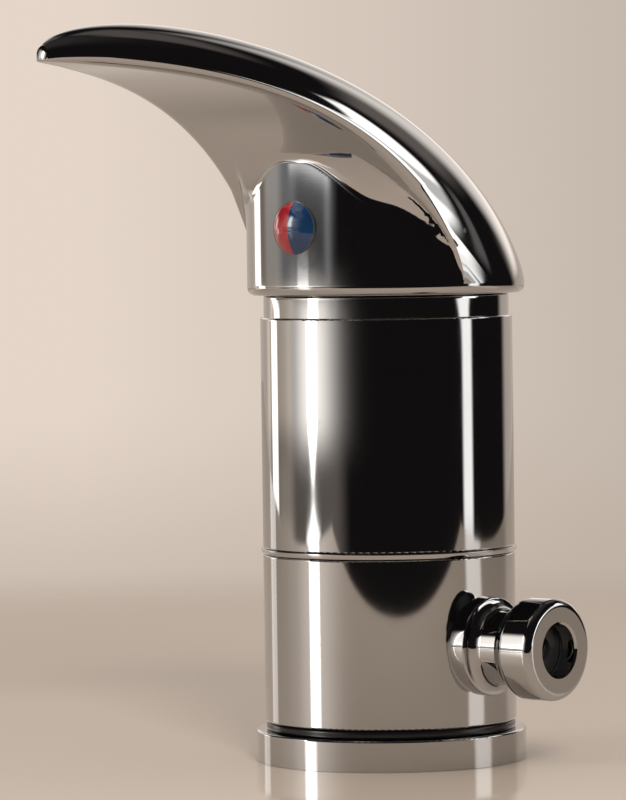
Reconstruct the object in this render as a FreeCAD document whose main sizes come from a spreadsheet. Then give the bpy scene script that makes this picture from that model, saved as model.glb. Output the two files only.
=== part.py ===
# Single-lever deck mixer with a side outlet for a shower hose, chrome-plated brass.
# Millimetres. +Z up, origin at the centre of the face that stands on the deck.
# The lever points along -Y, towards the user, and the hose outlet along +X.
import FreeCAD, Part
import math
import os
from types import SimpleNamespace

import Sketcher

Vector = FreeCAD.Vector
Rotation = FreeCAD.Rotation
Placement = FreeCAD.Placement

# Driving dimensions: name, millimetres or degrees, what it measures.
DIMENSIONS = [
    ("body_radius", 24.0, "valve body and swivel collar, outside"),
    ("body_height", 43.9, "upper part of the valve body"),
    ("flange_stand", 1.8, "base flange, stand off the body"),
    ("flange_height", 5.9, "base flange, height"),
    ("groove_height", 1.6, "dark gap between flange and collar"),
    ("groove_depth", 0.9, "how far the slip ring stands back"),
    ("collar_height", 31.9, "swivel collar, height"),
    ("seam_ring_height", 1.0, "bead between collar and upper body"),
    ("seam_ring_stand", 0.4, "how far the bead stands proud"),
    ("seam_ring_round", 0.45, "rounding of the bead"),
    ("rim_round", 0.4, "rounding of turned outer rims"),
    ("collar_thickness", 6.2, "swivel collar, wall over the trunk"),
    ("sleeve_gap", 0.3, "collar bore over the trunk, radial"),
    ("running_gap", 0.1, "end play between turning faces"),
    ("thread_gap", 0.1, "screwed pieces, radial"),
    ("flange_inner_lip", 1.6, "base flange, lip inside the gasket"),
    ("flange_outer_lip", 1.8, "base flange, lip outside the gasket"),
    ("gasket_height", 1.8, "base gasket, thickness"),
    ("ring_wire", 1.25, "section radius of the collar seals"),
    ("ring_fit", 0.05, "running gap over the seals"),
    ("seal_distance", 5.0, "seal centre in from each end of the collar"),
    ("collar_wall", 3.2, "swivel collar, wall round its water chamber"),
    ("annulus_height", 12.0, "water chamber, height"),
    ("outlet_height", 22.5, "outlet axis above the deck"),
    ("outlet_reach", 41.0, "outlet face from the body axis"),
    ("end_ring_stand", 2.9, "end ring, outside over the threaded end"),
    ("end_ring_length", 9.5, "end ring, length"),
    ("end_ring_wall", 3.2, "end ring, front wall"),
    ("end_ring_round", 1.5, "end ring, rounding of the front rim and the shoulder"),
    ("end_ring_taper", 2.6, "end ring, tapered back, length"),
    ("end_ring_fall", 1.8, "end ring, fall of the tapered back"),
    ("bore_edge", 0.4, "bevel at the mouth of the bore"),
    ("hose_bore", 4.9, "bore of the outlet"),
    ("neck_stand", 0.5, "outlet neck, outside over the threaded end"),
    ("spigot_wall", 1.4, "threaded end of the neck, wall"),
    ("outlet_root", 9.3, "root disc on the collar"),
    ("outlet_root_step", 1.6, "root disc, stand off the collar"),
    ("outlet_root_depth", 2.6, "root disc, depth in the collar's wall"),
    ("outlet_fillet", 2.0, "hollow between root disc and neck"),
    ("spigot_length", 5.5, "threaded end inside the end ring"),
    ("valve_shoulder", 0.3, "check valve bore over the hose bore"),
    ("valve_wall", 0.9, "check valve tube, wall"),
    ("valve_fit", 0.1, "gap between loose-fitting inserts"),
    ("seat_bore", 2.6, "check valve seat, opening"),
    ("seat_height", 1.2, "check valve seat, thickness"),
    ("poppet_gap", 0.4, "check valve disc in its tube, radial"),
    ("poppet_stem", 1.0, "check valve stem"),
    ("poppet_travel", 2.0, "check valve lift"),
    ("spring_radius", 3.2, "check valve spring, mean radius"),
    ("spring_wire", 0.3, "check valve spring, wire radius"),
    ("spring_turns", 4.5, "check valve spring, turns"),
    ("inlet_radius", 4.46, "inlet thread core"),
    ("inlet_depth", 12.0, "inlet thread, depth"),
    ("inlet_spacing", 8.5, "inlets, each side of the axis"),
    ("inlet_offset", 3.5, "inlets, forward of the axis"),
    ("stud_radius", 3.4, "fixing stud thread core"),
    ("stud_depth", 14.0, "fixing stud thread, depth"),
    ("stud_offset", 9.5, "fixing stud, behind the axis"),
    ("passage_radius", 3.5, "water passages"),
    ("mixed_offset", 8.5, "mixed water passage, behind the axis"),
    ("mixed_bottom", 18.6, "mixed water passage, lowest point"),
    ("chamber_step", 1.5, "cartridge chamber, in from the nut thread"),
    ("cartridge_gap", 0.2, "cartridge in its chamber, radial"),
    ("cartridge_wall", 1.8, "cartridge housing, wall"),
    ("chamber_depth", 38.4, "cartridge chamber below the body's top"),
    ("body_wall", 2.3, "valve body, wall at the nut thread"),
    ("nut_height", 5.9, "cartridge nut, height"),
    ("nut_clearance", 1.1, "cartridge nut, bore over the rotor's sleeve"),
    ("nut_key_lip", 3.4, "cartridge nut, key hexagon corners beyond the bore"),
    ("nut_key_depth", 3.0, "cartridge nut, key hexagon depth"),
    ("nut_play", 0.1, "dome cover spigot above the nut"),
    ("base_step", 3.0, "cartridge base, flange"),
    ("base_plate", 3.0, "cartridge base, plate over the flange"),
    ("base_rim", 2.0, "cartridge base, rim round the fixed disc"),
    ("pin_radius", 1.9, "locating pins of the cartridge"),
    ("pin_length", 2.6, "locating pins, length"),
    ("pin_spread", 8.5, "locating pins, each side of the axis"),
    ("pin_offset", 11.0, "locating pins, forward of the axis"),
    ("seal_inner", 3.7, "port seals, inside"),
    ("seal_width", 1.2, "port seals, width"),
    ("seal_height", 1.5, "port seals, thickness"),
    ("base_rim_wall", 1.8, "cartridge base, wall of the rim round the fixed disc"),
    ("fixed_disc_height", 4.0, "fixed ceramic disc, thickness"),
    ("port_radius", 3.2, "ports of the fixed disc"),
    ("slide_room", 4.9, "moving ceramic disc, in from the housing bore"),
    ("moving_disc_height", 3.5, "moving ceramic disc, thickness"),
    ("mixing_lip", 1.8, "mixing hollow, in from the moving disc's edge"),
    ("mixing_depth", 2.0, "mixing hollow, depth"),
    ("mixing_edge", 3.0, "mixing hollow, forward of the disc's centre"),
    ("carrier_plate", 1.9, "disc carrier, plate"),
    ("carrier_height", 6.4, "disc carrier, height over all"),
    ("carrier_half_width", 9.0, "disc carrier block, half width"),
    ("carrier_inset", 3.8, "disc carrier block, ends in from the moving disc's edge"),
    ("carrier_floor", 1.5, "disc carrier under the driving ball"),
    ("driver_gap", 0.25, "driving ball in its socket"),
    ("peg_radius", 1.2, "pegs that drive the moving disc"),
    ("peg_length", 1.1, "pegs, length"),
    ("rotor_plate", 4.1, "rotor disc, thickness"),
    ("rotor_neck", 12.8, "rotor neck"),
    ("rotor_rise", 7.0, "rotor neck above the pivot"),
    ("rail_width", 2.9, "rails that guide the carrier"),
    ("rail_gap", 0.15, "rails clear of the carrier"),
    ("rail_inset", 6.4, "rails, ends in from the rotor's edge"),
    ("neck_wire", 1.0, "section radius of the rotor seal"),
    ("slot_gap", 0.2, "stem in the rotor's slot, each side"),
    ("slot_room", 2.7, "rotor slot, beyond the stem at each end"),
    ("pivot_drop", 5.4, "pivot pin below the body's top"),
    ("pivot_radius", 2.0, "pivot pin"),
    ("pivot_inset", 0.6, "pivot pin, ends in from the rotor neck"),
    ("pivot_fit", 0.05, "stem on the pivot pin, radial"),
    ("lift_angle", 25.0, "lever from closed to fully open, degrees"),
    ("stem_side", 8.0, "square stem, side"),
    ("stem_rise", 27.0, "stem above the pivot"),
    ("stem_shoulder", 6.0, "square part below the pivot"),
    ("stem_arm", 15.0, "pivot to the driving ball"),
    ("stem_shank", 2.4, "shank above the driving ball"),
    ("stem_ball", 2.8, "driving ball"),
    ("cover_step", 0.65, "dome cover, in from the body"),
    ("cover_straight", 4.5, "dome cover, straight part"),
    ("cover_rise", 7.9, "dome cover, height over the body"),
    ("cover_clearance", 1.5, "dome cover, opening over the rotor's sleeve"),
    ("cover_wall", 1.5, "dome cover, wall"),
    ("cover_spigot", 1.9, "dome cover, spigot in the body"),
    ("cover_round", 2.0, "dome cover, shoulder rounding"),
    ("cover_fall", 0.4, "dome cover, fall from the opening to mid crown"),
    ("skirt_stand", 2.4, "lever skirt, stand off the body"),
    ("skirt_wall", 1.8, "lever skirt, wall at the rim"),
    ("skirt_lift", 4.2, "skirt rim above the body's top"),
    ("skirt_round", 1.6, "skirt rim, rounding"),
    ("skirt_band", 2.0, "straight band of the skirt above its rim"),
    ("hollow_stand", 1.1, "hollow of the lever, about the pivot, over the skirt"),
    ("boss_radius", 8.5, "socket boss in the lever"),
    ("boss_start", 13.5, "socket boss above the pivot"),
    ("socket_gap", 0.08, "stem in its socket, each side"),
    ("lever_reach", 93.3, "lever tip forward of the body axis"),
    ("tip_rise", 44.0, "lever tip above the skirt rim"),
    ("spine_start", 1.5, "spine: first pull, above the band"),
    ("spine_low_out", 24.7, "spine: lower pull, forward"),
    ("spine_low_up", 31.9, "spine: lower pull, above the rim"),
    ("spine_high_out", 35.9, "spine: upper pull, forward"),
    ("spine_high_up", 47.6, "spine: upper pull, above the rim"),
    ("spine_end_drop", 1.9, "spine: last pull, below the tip"),
    ("spine_end_out", 2.0, "spine: last pull, beyond the tip"),
    ("ridge_start", 6.5, "ridge: first pull, above the band"),
    ("ridge_low_in", 3.7, "ridge: lower pull, in from the skirt"),
    ("ridge_low_up", 34.6, "ridge: lower pull, above the rim"),
    ("ridge_high_out", 39.3, "ridge: upper pull, forward"),
    ("ridge_high_up", 59.4, "ridge: upper pull, above the rim"),
    ("ridge_end_up", 7.5, "ridge: last pull, above the tip"),
    ("width_low_in", 3.9, "half width: lower pull, in from the skirt"),
    ("width_mid_in", 5.5, "half width: middle pull, in from the skirt"),
    ("width_high", 7.3, "half width: upper pull"),
    ("under_start_out", 6.4, "underside: start forward of the axis"),
    ("under_start_up", 7.4, "underside: first pull, above the band"),
    ("under_low_out", 25.5, "underside: lower pull, forward"),
    ("under_low_up", 36.3, "underside: lower pull, above the rim"),
    ("under_high_out", 51.1, "underside: upper pull, forward"),
    ("under_high_up", 40.0, "underside: upper pull, above the rim"),
    ("under_tip_drop", 1.4, "underside below the tip"),
    ("under_tip_out", 1.2, "underside beyond the tip"),
    ("plug_rise", 12.7, "indicator centre above the skirt rim"),
    ("plug_radius", 5.0, "indicator, radius"),
    ("plug_depth", 3.0, "indicator seat in the skirt"),
    ("plug_dome", 1.8, "indicator, dome height"),
    ("plug_gap", 0.1, "indicator in its seat"),
    ("screw_radius", 2.5, "grub screw"),
    ("screw_length", 8.0, "grub screw, length"),
    ("screw_key", 1.4, "grub screw, key over corners"),
]

doc = FreeCAD.newDocument("shower_mixer")


class Size:
    """A measure as a number, and as the expression that works it out in the document."""

    def __init__(self, number, text):
        self.number = float(number)
        self.text = text

    def __add__(self, other):
        other = size_of(other)
        return Size(self.number + other.number, f"({self.text} + {other.text})")

    def __radd__(self, other):
        return size_of(other) + self

    def __sub__(self, other):
        other = size_of(other)
        return Size(self.number - other.number, f"({self.text} - {other.text})")

    def __rsub__(self, other):
        return size_of(other) - self

    def __mul__(self, other):
        other = size_of(other)
        return Size(self.number * other.number, f"({self.text} * {other.text})")

    def __rmul__(self, other):
        return size_of(other) * self

    def __truediv__(self, other):
        other = size_of(other)
        return Size(self.number / other.number, f"({self.text} / {other.text})")

    def __neg__(self):
        return Size(-self.number, f"(-1 * {self.text})")


def size_of(value):
    """The value as a Size; plain numbers become constants."""
    if isinstance(value, Size):
        return value
    return Size(value, repr(float(value)))


def sine(angle):
    """Sine of an angle in degrees."""
    return Size(math.sin(math.radians(angle.number)), f"sin({angle.text})")


def cosine(angle):
    """Cosine of an angle in degrees."""
    return Size(math.cos(math.radians(angle.number)), f"cos({angle.text})")


def make_sheet():
    """Write the driving dimensions into a sheet and return them as named sizes."""
    sheet = doc.addObject("Spreadsheet::Sheet", "Sizes")
    for row, (name, number, note) in enumerate(DIMENSIONS, start=1):
        sheet.set(f"A{row}", note)
        sheet.set(f"B{row}", str(number))
        sheet.setAlias(f"B{row}", name)
    doc.recompute()
    sizes = SimpleNamespace()
    for name, _, _ in DIMENSIONS:
        setattr(sizes, name, Size(sheet.get(name), f"Sizes.{name}"))
    return sizes


s = make_sheet()

# Levels above the deck, from the bottom up
flange_top = s.flange_height
collar_bottom = flange_top + s.groove_height
collar_top = collar_bottom + s.collar_height
seam_bottom = collar_top + s.running_gap
body_bottom = seam_bottom + s.seam_ring_height
body_top = body_bottom + s.body_height
chamber_floor = body_top - s.chamber_depth
base_top = chamber_floor + s.base_step + s.base_plate
disc_face = base_top + s.fixed_disc_height
carrier_bottom = disc_face + s.moving_disc_height
carrier_top = carrier_bottom + s.carrier_height
rotor_bottom = carrier_top + s.cartridge_gap + s.running_gap
rotor_top = rotor_bottom + s.rotor_plate
roof_bottom = rotor_top + s.cartridge_gap
nut_top = body_top - s.cover_spigot - s.nut_play
nut_bottom = nut_top - s.nut_height
pivot_height = body_top - s.pivot_drop
rim = body_top + s.skirt_lift
band_top = rim + s.skirt_band
plug_height = rim + s.plug_rise
tip_height = rim + s.tip_rise

# Radii of the base, the collar and the body, from the axis out
sleeve_bore = s.body_radius - s.collar_thickness
trunk_radius = sleeve_bore - s.sleeve_gap
screwed_bore = trunk_radius + s.thread_gap
annulus_radius = s.body_radius - s.collar_wall
flange_radius = s.body_radius + s.flange_stand
gasket_inner = screwed_bore + s.flange_inner_lip
gasket_outer = flange_radius - s.flange_outer_lip
nut_thread = s.body_radius - s.body_wall
chamber_bore = nut_thread - s.chamber_step

# Radii of the cartridge, from its housing in
cartridge_radius = chamber_bore - s.cartridge_gap
housing_bore = cartridge_radius - s.cartridge_wall
base_spigot = housing_bore - s.cartridge_gap
base_cup = base_spigot - s.base_rim_wall
fixed_disc_radius = base_cup - s.cartridge_gap
moving_disc_radius = housing_bore - s.slide_room
mixing_radius = moving_disc_radius - s.mixing_lip
rotor_radius = housing_bore - s.sleeve_gap
rotor_sleeve = s.rotor_neck + s.sleeve_gap
nut_bore = rotor_sleeve + s.nut_clearance

# Radii of the cover and the lever
cover_radius = s.body_radius - s.cover_step
cover_opening = rotor_sleeve + s.cover_clearance
skirt_radius = s.body_radius + s.skirt_stand
skirt_inner = skirt_radius - s.skirt_wall
hollow_radius = skirt_radius + s.hollow_stand

# Radii and stations of the outlet
valve_bore = s.hose_bore + s.valve_shoulder
outlet_spigot = valve_bore + s.spigot_wall
outlet_neck = outlet_spigot + s.neck_stand
end_ring_radius = outlet_spigot + s.end_ring_stand
end_ring_back = s.outlet_reach - s.end_ring_length
spigot_end = end_ring_back + s.spigot_length
washer_end = s.outlet_reach - s.end_ring_wall
valve_start = s.body_radius + s.valve_fit

# The lever leans by half its travel; the carrier follows the ball on the stem's lower end
lean = s.lift_angle / 2
slide_offset = s.stem_arm * lean * (math.pi / 180)

ports = [
    (s.inlet_spacing, -s.inlet_offset),
    (-s.inlet_spacing, -s.inlet_offset),
    (size_of(0), s.mixed_offset),
]
TURNS = {
    "+Z": Rotation(),
    "+X": Rotation(Vector(0, 1, 0), 90),
    "-Y": Rotation(Vector(1, 0, 0), 90),
    "+Y": Rotation(Vector(1, 0, 0), -90),
}
# Sections of the lever's crown, and how far along its curves the last one stands
STATIONS = 13
NOSE_END = 0.985
parts = []


def bind(item, field, size):
    """Set a property from a size and keep it bound to the sheet."""
    if "Sizes." in size.text:
        item.setExpression(field, size.text)


def place(item, x=0, y=0, z=0, turn=Rotation()):
    """Place a feature at sizes, turned by a fixed rotation."""
    x, y, z = size_of(x), size_of(y), size_of(z)
    item.Placement = Placement(Vector(x.number, y.number, z.number), turn)
    bind(item, "Placement.Base.x", x)
    bind(item, "Placement.Base.y", y)
    bind(item, "Placement.Base.z", z)


def new_body(label, tool=False):
    """Start a sub-part, or a tool for one, that is built from features."""
    body = doc.addObject("PartDesign::Body", label)
    if not tool:
        parts.append(body)
    return body


def outline(body, name, role, corners, lift=None):
    """Draw a closed outline of straight sides on one of the body's own planes."""
    sketch = body.newObject("Sketcher::SketchObject", name)
    plane = next(item for item in body.Origin.OriginFeatures if item.Role == role)
    sketch.AttachmentSupport = [(plane, "")]
    sketch.MapMode = "FlatFace"
    if lift is not None:
        sketch.AttachmentOffset = Placement(Vector(0, lift.number, 0), Rotation())
        bind(sketch, "AttachmentOffset.Base.y", lift)
    corners = [(size_of(across), size_of(up)) for across, up in corners]
    points = [Vector(across.number, up.number, 0) for across, up in corners]
    count = len(points)
    sketch.addGeometry([Part.LineSegment(points[i], points[(i + 1) % count]) for i in range(count)])
    joins = [Sketcher.Constraint("Coincident", i, 2, (i + 1) % count, 1) for i in range(count)]
    sketch.addConstraint(joins)
    for i, (across, up) in enumerate(corners):
        sketch.addConstraint(Sketcher.Constraint("DistanceX", -1, 1, i, 1, across.number))
        bind(sketch, f"Constraints[{count + 2 * i}]", across)
        sketch.addConstraint(Sketcher.Constraint("DistanceY", -1, 1, i, 1, up.number))
        bind(sketch, f"Constraints[{count + 2 * i + 1}]", up)
    return sketch


def turn(body, name, corners, across=None, cut=False):
    """Turn an outline about the upright axis, or about the outlet's axis at a height."""
    sketch = outline(body, name + "_outline", "XZ_Plane", corners, lift=across)
    kind = "PartDesign::Groove" if cut else "PartDesign::Revolution"
    feature = body.newObject(kind, name)
    feature.Profile = sketch
    feature.ReferenceAxis = (sketch, ["V_Axis" if across is None else "H_Axis"])
    feature.Angle = 360
    doc.recompute()


def cylinder(body, name, radius, length, x=0, y=0, z=0, along="+Z", cut=True):
    """Add a round boss to a body, or drill a round hole in it."""
    kind = "PartDesign::SubtractiveCylinder" if cut else "PartDesign::AdditiveCylinder"
    feature = body.newObject(kind, name)
    bind(feature, "Radius", size_of(radius))
    bind(feature, "Height", size_of(length))
    place(feature, x, y, z, TURNS[along])


def block(body, name, low, high, cut=True):
    """Add a block to a body, or mill one out of it, between two corners."""
    kind = "PartDesign::SubtractiveBox" if cut else "PartDesign::AdditiveBox"
    feature = body.newObject(kind, name)
    low = [size_of(value) for value in low]
    high = [size_of(value) for value in high]
    for field, start, end in zip(("Length", "Width", "Height"), low, high):
        bind(feature, field, end - start)
    place(feature, *low)


def round_rims(body, name, radius, picks, axis="z"):
    """Round circular edges, each picked by its radius and its place along the axis."""
    doc.recompute()
    base = body.Tip
    chosen = []
    for number, edge in enumerate(base.Shape.Edges, start=1):
        curve = edge.Curve
        if not isinstance(curve, Part.Circle):
            continue
        place_along = getattr(curve.Center, axis)
        for wanted, level in picks:
            close = abs(curve.Radius - wanted.number) < 1e-4
            if close and abs(place_along - level.number) < 1e-4:
                chosen.append(f"Edge{number}")
    if len(chosen) != len(picks):
        raise RuntimeError(f"{body.Label}: {name} found {len(chosen)} of {len(picks)} rims")
    feature = body.newObject("PartDesign::Fillet", name)
    feature.Base = (base, chosen)
    bind(feature, "Radius", radius)
    doc.recompute()


def ring(label, inner, outer, bottom, top):
    """A plain turned ring."""
    body = new_body(label)
    turn(body, "ring", [(inner, bottom), (outer, bottom), (outer, top), (inner, top)])
    return body


def group(label, members):
    """Several equal solids that share one node."""
    item = doc.addObject("Part::Compound", label)
    item.Links = members
    parts.append(item)


def make_base():
    """Flange on the deck, its gasket and the slip ring in the dark groove."""
    flange = new_body("base_flange")
    turn(flange, "flange", [
        (screwed_bore, 0), (gasket_inner, 0), (gasket_inner, s.gasket_height),
        (gasket_outer, s.gasket_height), (gasket_outer, 0), (flange_radius, 0),
        (flange_radius, flange_top), (screwed_bore, flange_top)])
    round_rims(flange, "top_round", s.rim_round, [(flange_radius, flange_top)])
    ring("base_gasket", gasket_inner + s.thread_gap, gasket_outer - s.thread_gap,
         size_of(0), s.gasket_height)
    ring("lower_slip_ring", sleeve_bore, s.body_radius - s.groove_depth,
         flange_top, collar_bottom - s.running_gap)


def make_collar():
    """Swivel collar with the outlet neck, its seals and the bead above it."""
    half = s.annulus_height / 2
    low = s.outlet_height - half
    high = s.outlet_height + half
    root_end = s.body_radius + s.outlet_root_step
    root_start = s.body_radius - s.outlet_root_depth
    collar = new_body("swivel_collar")
    turn(collar, "sleeve", [
        (sleeve_bore, collar_bottom), (s.body_radius, collar_bottom), (s.body_radius, collar_top),
        (sleeve_bore, collar_top), (sleeve_bore, high), (annulus_radius, high),
        (annulus_radius, low), (sleeve_bore, low)])
    round_rims(collar, "sleeve_rounds", s.rim_round,
               [(s.body_radius, collar_bottom), (s.body_radius, collar_top)])
    turn(collar, "neck", [
        (root_start, 0), (root_start, s.outlet_root), (root_end, s.outlet_root),
        (root_end, outlet_neck), (end_ring_back, outlet_neck),
        (end_ring_back, outlet_spigot), (spigot_end, outlet_spigot), (spigot_end, 0)],
        across=s.outlet_height)
    round_rims(collar, "neck_hollow", s.outlet_fillet, [(outlet_neck, root_end)], axis="x")
    round_rims(collar, "root_round", s.rim_round, [(s.outlet_root, root_end)], axis="x")
    seat_end = valve_start + s.seat_height
    cylinder(collar, "outlet_bore", valve_bore, s.outlet_reach - valve_start + s.valve_fit,
             valve_start - s.valve_fit, 0, s.outlet_height, "+X")
    cylinder(collar, "seat_bore", s.seat_bore, seat_end - trunk_radius,
             trunk_radius, 0, s.outlet_height, "+X")

    seals = []
    centre = sleeve_bore - s.ring_fit - s.ring_wire
    for number, level in enumerate((collar_bottom + s.seal_distance, collar_top - s.seal_distance)):
        seal = doc.addObject("Part::Torus", f"collar_seal_{number + 1}")
        bind(seal, "Radius1", centre)
        bind(seal, "Radius2", s.ring_wire)
        place(seal, z=level)
        seals.append(seal)
    group("collar_o_rings", seals)

    bead_radius = s.body_radius + s.seam_ring_stand
    bead = ring("seam_ring", screwed_bore, bead_radius, seam_bottom, body_bottom)
    round_rims(bead, "bead_rounds", s.seam_ring_round,
               [(bead_radius, seam_bottom), (bead_radius, body_bottom)])


def make_outlet_end():
    """End ring for the hose, its washer and the check valve in the neck."""
    shoulder = end_ring_back + s.end_ring_taper
    end_ring = new_body("outlet_end_ring")
    thread = outlet_spigot + s.thread_gap
    turn(end_ring, "end_ring", [
        (end_ring_back, thread), (end_ring_back, end_ring_radius - s.end_ring_fall),
        (shoulder, end_ring_radius), (s.outlet_reach, end_ring_radius),
        (s.outlet_reach, s.hose_bore + s.bore_edge), (s.outlet_reach - s.bore_edge, s.hose_bore),
        (washer_end, s.hose_bore), (washer_end, thread)], across=s.outlet_height)
    round_rims(end_ring, "end_ring_rounds", s.end_ring_round,
               [(end_ring_radius, shoulder), (end_ring_radius, s.outlet_reach)], axis="x")
    washer = new_body("outlet_washer")
    turn(washer, "washer", [
        (spigot_end, valve_bore), (spigot_end, outlet_spigot),
        (washer_end, outlet_spigot), (washer_end, valve_bore)], across=s.outlet_height)

    outside = valve_bore - s.valve_fit
    inside = outside - s.valve_wall
    seat_end = valve_start + s.seat_height
    stop_end = spigot_end - s.valve_fit
    stop_start = stop_end - s.seat_height
    guide = s.poppet_stem + s.seat_height
    housing = new_body("check_valve_housing")
    turn(housing, "housing", [
        (valve_start, s.seat_bore), (valve_start, outside), (stop_end, outside),
        (stop_end, guide), (stop_start, guide), (stop_start, inside),
        (seat_end, inside), (seat_end, s.seat_bore)], across=s.outlet_height)

    disc_start = seat_end + s.ring_fit
    disc_end = disc_start + s.seat_height
    disc_radius = inside - s.poppet_gap
    poppet = new_body("check_valve_poppet")
    turn(poppet, "poppet", [
        (disc_start, 0), (disc_start, disc_radius), (disc_end, disc_radius),
        (disc_end, s.poppet_stem), (stop_end - s.poppet_travel, s.poppet_stem),
        (stop_end - s.poppet_travel, 0)], across=s.outlet_height)

    first = disc_end + s.spring_wire + s.ring_fit
    last = stop_start - s.spring_wire - s.ring_fit
    helix = doc.addObject("Part::Helix", "spring_path")
    bind(helix, "Height", last - first)
    bind(helix, "Pitch", (last - first) / s.spring_turns)
    bind(helix, "Radius", s.spring_radius)
    place(helix, first, 0, s.outlet_height, TURNS["+X"])
    wire = doc.addObject("Part::Circle", "spring_section")
    bind(wire, "Radius", s.spring_wire)
    place(wire, first, 0, s.outlet_height - s.spring_radius, TURNS["-Y"])
    spring = doc.addObject("Part::Sweep", "check_valve_spring")
    spring.Sections = [wire]
    spring.Spine = (helix, [])
    spring.Solid = True
    spring.Frenet = True
    parts.append(spring)


def make_valve_body():
    """Brass body: trunk with the inlets, cartridge chamber and the passages between them."""
    body = new_body("valve_body")
    turn(body, "turned_body", [
        (0, 0), (trunk_radius, 0), (trunk_radius, body_bottom), (s.body_radius, body_bottom),
        (s.body_radius, body_top), (nut_thread, body_top), (nut_thread, nut_bottom),
        (chamber_bore, nut_bottom), (chamber_bore, chamber_floor), (0, chamber_floor)])
    round_rims(body, "outer_rounds", s.rim_round,
               [(s.body_radius, body_bottom), (s.body_radius, body_top)])
    floor = sleeve_bore - s.ring_fit - 2 * s.ring_wire
    half = s.ring_wire + s.valve_fit
    for number, level in enumerate((collar_bottom + s.seal_distance, collar_top - s.seal_distance)):
        turn(body, f"seal_groove_{number + 1}", [
            (floor, level - half), (sleeve_bore, level - half),
            (sleeve_bore, level + half), (floor, level + half)], cut=True)
    for number, (x, y) in enumerate(ports[:2]):
        cylinder(body, f"inlet_thread_{number + 1}", s.inlet_radius, s.inlet_depth, x, y, 0)
        cylinder(body, f"inlet_passage_{number + 1}", s.passage_radius, chamber_floor, x, y, 0)
    mixed_length = chamber_floor - s.mixed_bottom
    cylinder(body, "mixed_passage", s.passage_radius, mixed_length,
             0, s.mixed_offset, s.mixed_bottom)
    cylinder(body, "mixed_port", s.passage_radius, trunk_radius,
             0, s.mixed_offset, s.outlet_height, "+Y")
    cylinder(body, "stud_thread", s.stud_radius, s.stud_depth, 0, s.stud_offset, 0)
    hole_depth = s.pin_length + s.thread_gap
    for number, side in enumerate((1, -1)):
        cylinder(body, f"pin_hole_{number + 1}", s.pin_radius + s.thread_gap, hole_depth,
                 side * s.pin_spread, s.pin_offset * -1, chamber_floor - hole_depth)
    doc.recompute()


def make_cartridge():
    """Ceramic-disc cartridge: base, seals, discs, carrier, rotor, housing and nut."""
    base = new_body("cartridge_base")
    flange_edge = cartridge_radius - s.thread_gap
    step_top = chamber_floor + s.base_step
    rim_top = base_top + s.base_rim
    turn(base, "base", [
        (0, chamber_floor), (flange_edge, chamber_floor), (flange_edge, step_top),
        (base_spigot, step_top), (base_spigot, rim_top), (base_cup, rim_top),
        (base_cup, base_top), (0, base_top)])
    height = s.base_step + s.base_plate
    seal_outer = s.seal_inner + s.seal_width
    for number, (x, y) in enumerate(ports):
        cylinder(base, f"port_{number + 1}", s.passage_radius, height, x, y, chamber_floor)
        cylinder(base, f"seal_seat_{number + 1}", seal_outer + s.thread_gap, s.seal_height,
                 x, y, chamber_floor)
    for number, side in enumerate((1, -1)):
        cylinder(base, f"pin_{number + 1}", s.pin_radius, s.pin_length + s.base_step / 2,
                 side * s.pin_spread, s.pin_offset * -1, chamber_floor - s.pin_length, cut=False)

    seals = []
    for number, (x, y) in enumerate(ports):
        outer = doc.addObject("Part::Cylinder", f"seal_disc_{number + 1}")
        hole = doc.addObject("Part::Cylinder", f"seal_hole_{number + 1}")
        for item, radius in ((outer, seal_outer), (hole, s.seal_inner)):
            bind(item, "Radius", radius)
            bind(item, "Height", s.seal_height)
            place(item, x, y, chamber_floor)
        seal = doc.addObject("Part::Cut", f"port_seal_{number + 1}")
        seal.Base = outer
        seal.Tool = hole
        seals.append(seal)
    group("cartridge_port_seals", seals)

    fixed = new_body("fixed_disc")
    turn(fixed, "disc", [(0, base_top), (fixed_disc_radius, base_top),
                         (fixed_disc_radius, disc_face), (0, disc_face)])
    for number, (x, y) in enumerate(ports):
        cylinder(fixed, f"port_{number + 1}", s.port_radius, s.fixed_disc_height, x, y, base_top)

    make_moving_disc()
    make_carrier()
    make_rotor()

    housing = new_body("cartridge_housing")
    turn(housing, "housing", [
        (housing_bore, step_top), (cartridge_radius, step_top), (cartridge_radius, nut_bottom),
        (rotor_sleeve, nut_bottom), (rotor_sleeve, roof_bottom), (housing_bore, roof_bottom)])

    nut = ring("cartridge_nut", nut_bore, nut_thread - s.thread_gap, nut_bottom, nut_top)
    key = nut.newObject("PartDesign::SubtractivePrism", "key_hexagon")
    key.Polygon = 6
    bind(key, "Circumradius", nut_bore + s.nut_key_lip)
    bind(key, "Height", s.nut_key_depth)
    place(key, z=nut_top - s.nut_key_depth)
    doc.recompute()


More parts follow.
